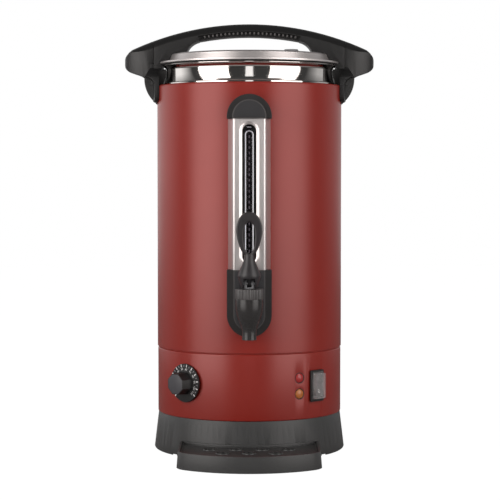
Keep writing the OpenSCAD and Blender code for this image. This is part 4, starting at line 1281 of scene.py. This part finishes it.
@dataclass
class Gauge:
    """The sight gauge: channel, end caps, and the glass in front of its printed backing."""

    sheet_edge: float = 0.0003
    cap_edge: float = 0.0016
    # Width of the paler ring round the caps' raised face: a painted highlight line.
    cap_line: float = 0.0011
    widened: float = 1.068
    side_x: float = 0.0120
    face_y: float = -0.1235
    flush: float = 0.0004
    flattened: float = 0.01
    window_x: float = 0.0079
    window_deep: float = 0.0040
    window_half: float = 0.0081
    window_wider: float = 1.066
    window_low: float = 0.2275
    window_high: float = 0.3846
    bead_half: float = 0.0016
    bead_high: float = 0.0009
    bead_thick: float = 0.0003
    bead_proud: float = 0.0001
    back_y: float = -0.1118
    line_half: float = 0.0042
    line_wide: float = 0.0013
    line_low: float = 0.2240
    line_turn: float = 0.3731
    dash_first: float = 0.2330
    dash_pitch: float = 0.0062
    dashes: int = 23
    dash_half: float = 0.0007
    dash_tall: float = 0.0030
    tick_z: float = 0.3812
    tick_half: float = 0.0022
    tick_tall: float = 0.0009

    def build(self, kit: Kit) -> None:
        """Builds and dresses the gauge.

        Args:
            kit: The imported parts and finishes.
        """
        channel = self._channel(kit.nodes["gauge_cover"])
        kit.finish(rounded(channel, self.sheet_edge), Body.ROOT, "brushed_steel", "gauge_cover")
        kit.finish(self._window_bead(), Body.ROOT, "brushed_steel")
        for end in ("top", "bottom"):
            self._cap(kit, end)
        # The printed line and dashes glow a little: painted light, as they sit in the channel's shade.
        kit.finish(self._border_line(), Body.ROOT, "black_plastic", look="gauge_white_painted_light")
        kit.finish(self._scale(), Body.ROOT, "black_plastic", look="gauge_grey_painted_light")

    def _cap(self, kit: Kit, end: str) -> None:
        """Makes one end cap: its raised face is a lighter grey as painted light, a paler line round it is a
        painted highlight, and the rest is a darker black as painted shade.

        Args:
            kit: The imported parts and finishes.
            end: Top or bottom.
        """
        cap = merged(kit.nodes[f"gauge_{end}_cap"], f"{end}_cap")
        front = min(corner.co.y for corner in cap.data.vertices) + self.cap_edge / 3

        def raised(at: Vector, facing: Vector) -> bool:
            """Says whether a face belongs to the raised front."""
            return facing.y < -0.9 and at.y < front

        # Two plates on the cap's raised face: a paler ring that is a painted highlight, and a lighter face
        # that is painted light.
        for layer, inset, depth, look in (
            ("edge", 0.0, PRINT * 5, "cap_line"),
            ("face", self.cap_line, PRINT * 10, "cap_grey"),
        ):
            cover = face_plate(cap, f"{end}_cap_{layer}", raised, inset, depth)
            kit.finish(cover, Body.ROOT, "charcoal_plastic", look=look)
        rounded(cap, self.cap_edge)
        # The cap's own black is darker than its face: painted shade on the band round the face.
        kit.finish(cap, Body.ROOT, "charcoal_plastic", f"gauge_{end}_cap", look="cap_black")

    def _channel(self, node: bpy.types.Object) -> bpy.types.Object:
        """Widens the channel's bent sides and lays the rim of its window flat.

        Args:
            node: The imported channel.

        Returns:
            The channel.
        """
        channel = merged(node, "gauge_channel")
        with editing(channel, Pick.VERTICES):
            pick(Pick.VERTICES, lambda at, _: abs(at.x) > self.side_x)
            bpy.ops.transform.resize(value=(self.widened, 1, 1), center_override=(0, 0, 0))
            pick(Pick.VERTICES, lambda at, _: at.y < self.face_y - self.flush)
            bpy.ops.transform.resize(value=(1, self.flattened, 1), center_override=(0, self.face_y, 0))
            pick(
                Pick.VERTICES,
                lambda at, _: abs(at.x) < self.window_x and at.y < self.face_y + self.window_deep,
            )
            bpy.ops.transform.resize(value=(self.window_wider, 1, 1), center_override=(0, 0, 0))
        return channel

    def _window_bead(self) -> bpy.types.Object:
        """Makes the bead round the window: a slot that is inset, raised, inset again and lowered.

        Returns:
            The bead.
        """
        wide = self.window_half + 2 * self.bead_half
        low, high = self.window_low + self.window_half, self.window_high - self.window_half
        outline = arc((0.0, high), wide, 0, 180, 20) + arc((0.0, low), wide, 180, 360, 20)
        bead = plate("window_bead", outline, self.bead_thick)
        with editing(bead):
            pick(Pick.FACES, lambda at, facing: facing.y < -0.9)
            bpy.ops.mesh.inset(thickness=self.bead_half, depth=self.bead_high)
            bpy.ops.mesh.inset(thickness=self.bead_half, depth=-self.bead_high)
            bpy.ops.mesh.delete(type="FACE")
            pick(Pick.FACES, lambda at, facing: facing.y > 0.9)
            bpy.ops.mesh.delete(type="FACE")
        place(bead, Matrix.Translation((0, self.face_y - self.bead_proud, 0)))
        smooth(bead, 25.0)
        return bead

    def _border_line(self) -> bpy.types.Object:
        """Makes the white line round the glass and the plain tick above it.

        Returns:
            The printed lines.
        """
        ring: list[Point] = []
        for side in (1, -1):
            radius = self.line_half + side * self.line_wide / 2
            over = arc((0.0, self.line_turn), radius, 0, 180, 20)
            ring.extend([(radius, self.line_low), *over, (-radius, self.line_low)][::side])
        line = plate("border_line", ring, PRINT)
        half, low, high = self.tick_half, self.tick_z, self.tick_z + self.tick_tall
        tick = plate("level_tick", [(-half, low), (half, low), (half, high), (-half, high)], PRINT)
        return place(joined("gauge_lines", [line, tick]), Matrix.Translation((0, self.back_y - PRINT, 0)))

    def _scale(self) -> bpy.types.Object:
        """Makes one dash of the scale behind the glass and copies it upwards.

        Returns:
            All the dashes.
        """
        half, tall = self.dash_half, self.dash_tall
        dash = plate("scale_dash", [(-half, 0), (half, 0), (half, tall), (-half, tall)], PRINT)
        copies = []
        for index in range(self.dashes):
            spot = (0, self.back_y - PRINT, self.dash_first + index * self.dash_pitch)
            copies.append(copied(dash, f"scale_dash_{index}", Matrix.Translation(spot)))
        bpy.data.objects.remove(dash)
        return joined("gauge_scale", copies)


@dataclass
class Tap:
    """The lever tap: barrel, scalloped nut, forked stem and the lever with its loop."""

    edge: float = 0.0005
    axis_y: float = -0.150
    nut_low: float = 0.1888
    nut_high: float = 0.2000
    nut_r: float = 0.0158
    scallops: int = 15
    scallop_r: float = 0.0032
    scallop_deep: float = 0.0011
    scallop_steps: int = 14
    scallop_turn: float = 6.0
    bore_r: float = 0.01245
    bore_deep: float = 0.0050
    chamber_r: float = 0.0106
    nut_top: float = 0.0024
    past: float = 0.0010
    overlap: float = 0.0001
    stem_hole_r: float = 0.00385
    hub_z: float = 0.2140
    foot_z: float = 0.2010
    loop_z: float = 0.2645
    loop_half: float = 0.0104
    loop_up: float = 0.0162
    loop_down: float = 0.0270
    loop_bar: float = 0.0043
    loop_deep: float = 0.0044
    loop_edge: float = 0.0022
    loop_steps: int = 64
    loop_near: float = 0.01
    loop_thicker: float = 0.0013
    loop_thinner: float = 0.0026
    hub_rings: tuple[Point, ...] = (
        (0.0125, -0.0010), (0.0129, 0.0), (0.0123, 0.0035), (0.0103, 0.0086),
        (0.0072, 0.0156), (0.0059, 0.0200), (0.0056, 0.0250),
    )
    foot_r: float = 0.0088
    fork_low: Point3 = (-0.0064, -0.0140, 0.1990)
    fork_high: Point3 = (0.0064, 0.0055, 0.2116)
    fork_edge: float = 0.0008
    tongue_low: Point3 = (-0.0022, -0.0016, 0.2037)
    tongue_high: Point3 = (0.0022, 0.0037, 0.2130)
    tongue_edge: float = 0.0006
    hub_edge: float = 0.0004
    stem_edge: float = 0.0003
    stem_lift: float = 0.0040

    def build(self, kit: Kit) -> None:
        """Builds and dresses the tap.

        Args:
            kit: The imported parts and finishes.
        """
        kit.soften("tap_body", "tap_barrel", Body.ROOT, "charcoal_plastic", self.edge, "moulded_black")
        kit.finish(self._nut(), Body.ROOT, "charcoal_plastic", "tap_bonnet", look="nut_grey")
        kit.soften("valve_stem", "forked_stem", Body.VALVE, "grey_plastic", self.stem_edge)
        kit.finish(self._lever(), Body.LEVER, "charcoal_plastic", "tap_lever", look="lever_black")
        spring = merged(kit.nodes["valve_spring"], "return_spring")
        kit.finish(spring, Body.VALVE, kit.slot_of("valve_spring"), "valve_spring")
        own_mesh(spring)

    def _nut(self) -> bpy.types.Object:
        """Makes the nut: a scalloped outline, extruded, bored and rounded.

        Returns:
            The nut.
        """
        middle = self.nut_r + self.scallop_r - self.scallop_deep
        outline: list[Point] = []
        corners = self.scallops * self.scallop_steps
        pitch = 360 / self.scallops
        for corner in range(corners):
            turn = 360 * corner / corners
            off = math.radians((turn + self.scallop_turn) % pitch - pitch / 2)
            side = middle * math.sin(off)
            radius = self.nut_r
            if abs(side) < self.scallop_r:
                radius = min(radius, middle * math.cos(off) - math.sqrt(self.scallop_r**2 - side**2))
            outline.append((radius * math.cos(math.radians(turn)), radius * math.sin(math.radians(turn))))
        nut = slab("scalloped_nut", outline, self.nut_low, self.nut_high)
        bore_top, room_top = self.nut_low + self.bore_deep, self.nut_high - self.nut_top
        for name, radius, low, high, steps in (
            ("nut_bore", self.bore_r, self.nut_low - self.past, bore_top + self.overlap, 48),
            ("nut_room", self.chamber_r, bore_top, room_top, 48),
            ("stem_hole", self.stem_hole_r, room_top - self.overlap, self.nut_high + self.past, 32),
        ):
            cut(nut, drum(name, (radius, low), (radius, high), steps=steps))
        rounded(nut, self.edge)
        return place(nut, Matrix.Translation((0, self.axis_y, 0)))

    def _loop_outline(self, side: int) -> list[Point]:
        """One edge of the loop, which is widest above its middle and drawn in to its foot.

        Args:
            side: 1 for the outer edge and -1 for the inner one.

        Returns:
            Its points.
        """

        def middle(turn: float) -> Vector:
            """The bar's middle line."""
            reach = self.loop_up if math.sin(turn) > 0 else self.loop_down
            return Vector((self.loop_half * math.cos(turn), self.loop_z + reach * math.sin(turn)))

        points: list[Point] = []
        for step in range(self.loop_steps):
            turn = math.tau * step / self.loop_steps
            along = (middle(turn + self.loop_near) - middle(turn - self.loop_near)).normalized()
            rise = math.sin(turn)
            bar = self.loop_bar + (self.loop_thicker * rise**2 if rise > 0 else self.loop_thinner * rise)
            spot = middle(turn) + Vector((along.y, -along.x)) * bar * side
            points.append((spot.x, spot.y))
        return points

    def _lever(self) -> bpy.types.Object:
        """Makes the lever: a flat loop on a turned hub that is open for the fork.

        Returns:
            The lever.
        """
        rings = [(radius, self.hub_z + above) for radius, above in self.hub_rings]
        hub = turned(
            "lever_hub", [(0, self.foot_z), (self.foot_r, self.foot_z), *rings, (0, rings[-1][1])], 64
        )
        cut(hub, block("fork_room", Vector(self.fork_low), Vector(self.fork_high), self.fork_edge))
        tongue = block("lever_tongue", Vector(self.tongue_low), Vector(self.tongue_high), self.tongue_edge)
        loop = plate("lever_loop", self._loop_outline(1), 2 * self.loop_deep)
        opening = plate("lever_opening", self._loop_outline(-1), 4 * self.loop_deep)
        cut(loop, place(opening, Matrix.Translation((0, -self.loop_deep, 0))))
        place(loop, Matrix.Translation((0, -self.loop_deep, 0)))
        modify(
            loop, "BEVEL", width=self.loop_edge, segments=5, limit_method="ANGLE",
            angle_limit=math.radians(60), use_clamp_overlap=True,
        )
        lever = cut(rounded(hub, self.hub_edge), tongue, loop, kind="UNION")
        lever.name = "loop_lever"
        smooth(lever, 40.0)
        return place(lever, Matrix.Translation((0, self.axis_y, 0)))


@dataclass
class Controls:
    """The thermostat dial, the two lamps and the rocker switch."""

    wall_r: float = 0.1095
    panel_z: float = 0.0865
    dial_turn: float = -42.0
    dial_face: float = 0.0030
    grip_front: float = 0.0150
    grip_wider: float = 1.07
    grip_edge: float = 0.0006
    face_inset: float = 0.0007
    face_thick: float = 0.0003
    number_r: float = 0.0162
    number_tall: float = 0.0034
    long_mark: Point3 = (0.0186, 0.0219, 0.0012)
    short_mark: Point3 = (0.0190, 0.0212, 0.0007)
    tick_first: float = -40.0
    tick_step: float = 24.0
    ticks: int = 9
    number_first: int = 30
    number_step: int = 10
    end_tick: float = 227.0
    switch_turn: float = 45.0
    pivot_deep: float = 0.0030
    switch_drop: float = 0.0035
    rocker_lean: float = -10.0
    rocker_face: float = 0.0054
    rocker_rise: float = 1.6 / 13
    rocker_mark: float = 0.0078
    rocker_mark_tall: float = 0.0062
    bezel_edge: float = 0.0005
    rocker_edge: float = 0.0004
    cover_edge: float = 0.0006

    def build(self, kit: Kit) -> None:
        """Builds and dresses the controls.

        Args:
            kit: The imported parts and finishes.
        """
        wall = on_drum(self.dial_turn, self.panel_z, self.wall_r)
        knob = place(merged(kit.nodes["thermostat_knob"], "dial_and_grip"), wall.inverted())
        with editing(knob, Pick.VERTICES):
            pick(Pick.VERTICES, lambda at, _: at.z > self.grip_front)
            bpy.ops.transform.resize(value=(self.grip_wider, self.grip_wider, 1), center_override=(0, 0, 0))
        face = face_plate(
            knob, "grip_face", lambda at, facing: facing.z > 0.95 and at.z > self.grip_front,
            self.face_inset, self.face_thick,
        )
        kit.finish(place(face, wall), Body.DIAL, "black_plastic", look="grip_grey")
        kit.finish(place(rounded(knob, self.grip_edge), wall), Body.DIAL, "black_plastic", "thermostat_knob")
        dial = wall @ Matrix.Translation((0, 0, self.dial_face))
        kit.finish(place(self._long_marks(), dial), Body.DIAL, "black_plastic", look="white_print")
        kit.finish(place(self._short_marks(), dial), Body.DIAL, "black_plastic", look="grey_print")
        kit.soften("switch_housing", "switch_bezel", Body.ROOT, "black_plastic", self.bezel_edge)
        kit.soften("switch_rocker", "rocker", Body.ROCKER, "black_plastic", self.rocker_edge)
        kit.finish(self._rocker_marks(), Body.ROCKER, "black_plastic", look="white_print")
        kit.soften("switch_boot", "clear_cover", Body.ROOT, "clear_boot", self.cover_edge)

    def _mark(self, name: str, inner: float, outer: float, wide: float) -> bpy.types.Object:
        """Makes one radial mark that lies flat along X.

        Args:
            name: Its name.
            inner: The radius at which it starts.
            outer: The radius at which it ends.
            wide: Its width.

        Returns:
            The mark.
        """
        half = wide / 2
        mark = plate(name, [(inner, -half), (outer, -half), (outer, half), (inner, half)], PRINT)
        return place(mark, Matrix.Rotation(math.radians(-90), 4, "X"))

    def _long_marks(self) -> bpy.types.Object:
        """Makes the dial's long marks, its numerals and the mark at its low end.

        Returns:
            The marks.
        """
        mark = self._mark("dial_mark", *self.long_mark)
        quarter = Matrix.Rotation(math.radians(-90), 4, "Z")
        pieces = []
        for index in range(self.ticks):
            turn = math.radians(self.tick_first + index * self.tick_step)
            spin = Matrix.Rotation(turn, 4, "Z")
            pieces.append(copied(mark, f"dial_mark_{index}", spin))
            number = str(self.number_first + (self.ticks - 1 - index) * self.number_step)
            upright = spin @ Matrix.Translation((self.number_r, 0, PRINT)) @ quarter
            pieces.append(lettering(f"dial_number_{number}", number, self.number_tall, upright))
        pieces.append(copied(mark, "dial_mark_end", Matrix.Rotation(math.radians(self.end_tick), 4, "Z")))
        bpy.data.objects.remove(mark)
        return joined("dial_numbers", pieces)

    def _short_marks(self) -> bpy.types.Object:
        """Makes the dial's short marks.

        Returns:
            The marks.
        """
        mark = self._mark("dial_short_mark", *self.short_mark)
        pieces = []
        for index in range(self.ticks - 1):
            turn = math.radians(self.tick_first + (index + 0.5) * self.tick_step)
            pieces.append(copied(mark, f"dial_short_mark_{index}", Matrix.Rotation(turn, 4, "Z")))
        bpy.data.objects.remove(mark)
        return joined("dial_short_marks", pieces)

    def _rocker_marks(self) -> bpy.types.Object:
        """Makes the 0 and the I on the rocker.

        Returns:
            The marks.
        """
        panel = on_drum(self.switch_turn, self.panel_z - self.switch_drop, self.wall_r)
        rest = Matrix.Rotation(math.radians(self.rocker_lean), 4, "X")
        pivot = panel @ Matrix.Translation((0, 0, -self.pivot_deep)) @ rest
        slope = math.atan(self.rocker_rise)
        height = self.rocker_face + self.rocker_mark * self.rocker_rise + 2 * PRINT
        pieces = []
        for mark, side in (("0", -1), ("I", 1)):
            lean = Matrix.Rotation(slope * side, 4, "X")
            spot = Matrix.Translation((0, side * self.rocker_mark, height))
            pieces.append(lettering(f"rocker_mark_{mark}", mark, self.rocker_mark_tall, pivot @ spot @ lean))
        return joined("rocker_marks", pieces)


@dataclass
class Tray:
    """The pull-out drip tray with its bowed front, and the perforated grid."""

    edge: float = 0.0006
    half: float = 0.0800
    reach: float = 0.1990
    back: float = 0.0820
    corner: float = 0.0240
    bow_r: float = 0.1160
    draft: float = 0.0015
    low: float = 0.0005
    high: float = 0.0190
    floor: float = 0.0022
    wall: float = 0.0024
    tongue_x: float = 0.0409
    tongue_half: float = 0.0077
    tongue_y: float = -0.1182
    tongue_long: float = 0.0220
    tongue_low: float = 0.0056
    tongue_thick: float = 0.0030
    tongue_edge: float = 0.0004
    ledge: float = 0.0040
    gap: float = 0.0004
    base_foot_r: float = 0.1136
    base_top_r: float = 0.1087
    base_h: float = 0.0450
    grid_z: float = 0.0140
    grid_high: float = 0.0170
    rib: float = 0.0020
    rib_high: float = 0.0010
    hole_r: float = 0.0068
    lip_rings: tuple[Point, ...] = (
        (0.0, 0.0012), (0.0, 0.0003), (0.0004, 0.0), (0.0010, 0.0), (0.0016, 0.0012), (0.0, 0.0012),
    )
    sides: int = 40
    grid_edge: float = 0.0003
    rib_sunk: float = 0.0004
    pitch: float = 0.0295
    front_row: float = 0.0423
    back_row: float = 0.0688
    under: float = 0.0010
    room_top: float = 0.0300
    form_low: float = -0.0020
    side_low: float = -0.0100
    side_high: float = 0.0500

    def build(self, kit: Kit) -> None:
        """Builds and dresses the tray and the grid.

        Args:
            kit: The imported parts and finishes.
        """
        kit.finish(self._basin(), Body.TRAY, "charcoal_plastic", "drip_tray")
        # The grid gets a darker charcoal than the tray, painted shade of the tray's recess.
        kit.finish(self._grid(), Body.GRID, "charcoal_plastic", "drip_grid", look="grid_painted_shade_charcoal")

    def _plan(self, inset: float) -> list[Point]:
        """The tray's plan: straight sides, round corners and a bowed front.

        Args:
            inset: How far inside the tray's outline it is.

        Returns:
            Its points.
        """
        half, corner, bow = self.half - inset, self.corner - inset, self.bow_r - inset
        middle = self.bow_r - self.reach
        across = half - corner
        corner_y = middle - math.sqrt((bow - corner) ** 2 - across**2)
        turn = math.degrees(math.asin(across / (bow - corner)))
        return (
            [(half, -self.back), (-half, -self.back)]
            + arc((-across, corner_y), corner, 180, 270 - turn, 8)
            + arc((0.0, middle), bow, -90 - turn, -90 + turn, 40)[1:-1]
            + arc((across, corner_y), corner, turn - 90, 0, 8)
        )

    def _base_r(self, height: float) -> float:
        """The base's radius at a height."""
        return self.base_foot_r + (self.base_top_r - self.base_foot_r) * height / self.base_h

    def _room(
        self, name: str, inset: float, low: float, level: float, high: float | None = None
    ) -> bpy.types.Object:
        """A block of the tray's plan that stays clear of the base.

        Args:
            name: Its name.
            inset: How far it stays inside the tray's outline and the base's side.
            low: The height of its underside.
            level: The height at which the base's side is measured.
            high: The height of its top, where it doesn't reach out over the tray.

        Returns:
            The block.
        """
        room = slab(name, self._plan(inset), low, high or self.room_top)
        radius = self._base_r(level) + self.gap + inset
        return cut(room, drum("base_side", (radius, self.side_low), (radius, self.side_high)))

    def _basin(self) -> bpy.types.Object:
        """Makes the tray, with the two tongues that hold it to the base.

        Returns:
            The tray.
        """
        basin = slab("drip_basin", self._plan(-self.draft), self.low, self.high)
        with editing(basin):
            pick(Pick.FACES, lambda at, facing: facing.z > 0.9)
            size = self.half / (self.half + self.draft)
            bpy.ops.transform.resize(
                value=(size, size, 1), center_override=(0, -(self.reach + self.back) / 2, self.high)
            )
        cut(basin, self._room("basin_room", self.wall + self.ledge, self.low + self.floor, self.grid_z))
        cut(basin, self._room("grid_room", self.wall, self.grid_z, self.high))
        foot, top = self.form_low, self.room_top
        base = ((self._base_r(foot) + self.gap, foot), (self._base_r(top) + self.gap, top))
        cut(basin, drum("base_form", *base))
        for side in (-1, 1):
            low = Vector((side * self.tongue_x - self.tongue_half, self.tongue_y, self.tongue_low))
            size = Vector((2 * self.tongue_half, self.tongue_long, self.tongue_thick))
            cut(basin, block("tray_tongue", low, low + size, self.tongue_edge), kind="UNION")
        return rounded(basin, self.edge)

    def _hole_places(self) -> list[Point]:
        """Says where the grid's holes are: three in the front row and four in the back row.

        Returns:
            Their middles.
        """
        rows = ((self.front_row, (-1, 0, 1)), (self.back_row, (-1.5, -0.5, 0.5, 1.5)))
        return [(step * self.pitch, row - self.reach) for row, steps in rows for step in steps]

    def _grid(self) -> bpy.types.Object:
        """Makes the grid: a plate with holes, a raised border and a lip round each hole.

        Returns:
            The grid.
        """
        rim = self.wall + self.gap
        grid = self._room("drip_cover", rim, self.grid_z, self.high, self.grid_high - self.rib_high)
        for at in self._hole_places():
            cut(grid, drum("drain_hole", (self.hole_r, 0.0), (self.hole_r, self.room_top), at, self.sides))
        rounded(grid, self.grid_edge)
        border = self._room("cover_border", rim, self.grid_z + self.rib_sunk, self.high, self.grid_high)
        cut(border, self._room("border_room", rim + self.rib, self.grid_z - self.under, self.high))
        rounded(border, self.grid_edge)
        ring = turned(
            "drain_lip",
            [(self.hole_r + out, self.grid_high - down) for out, down in self.lip_rings],
            self.sides,
        )
        smooth(ring, 50.0)
        lips = [
            copied(ring, f"drain_lip_{index}", Matrix.Translation((*at, 0)))
            for index, at in enumerate(self._hole_places())
        ]
        bpy.data.objects.remove(ring)
        return joined("drip_cover", [grid, border, *lips])


def main() -> None:
    """Builds the studio and every sub-assembly in order."""
    logging.basicConfig(level=logging.INFO, format="%(message)s")
    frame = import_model()
    bpy.ops.object.select_all(action="DESELECT")
    finishes = Finishes()
    finishes.dress_nodes(frame["nodes"])
    Studio().build()
    kit = Kit(frame["nodes"], finishes)
    for assembly in (Shell(), Gauge(), Tap(), Controls(), Tray(), Lid(), Bow()):
        LOG.info("building %s", type(assembly).__name__)
        assembly.build(kit)


if __name__ == "__main__":
    main()
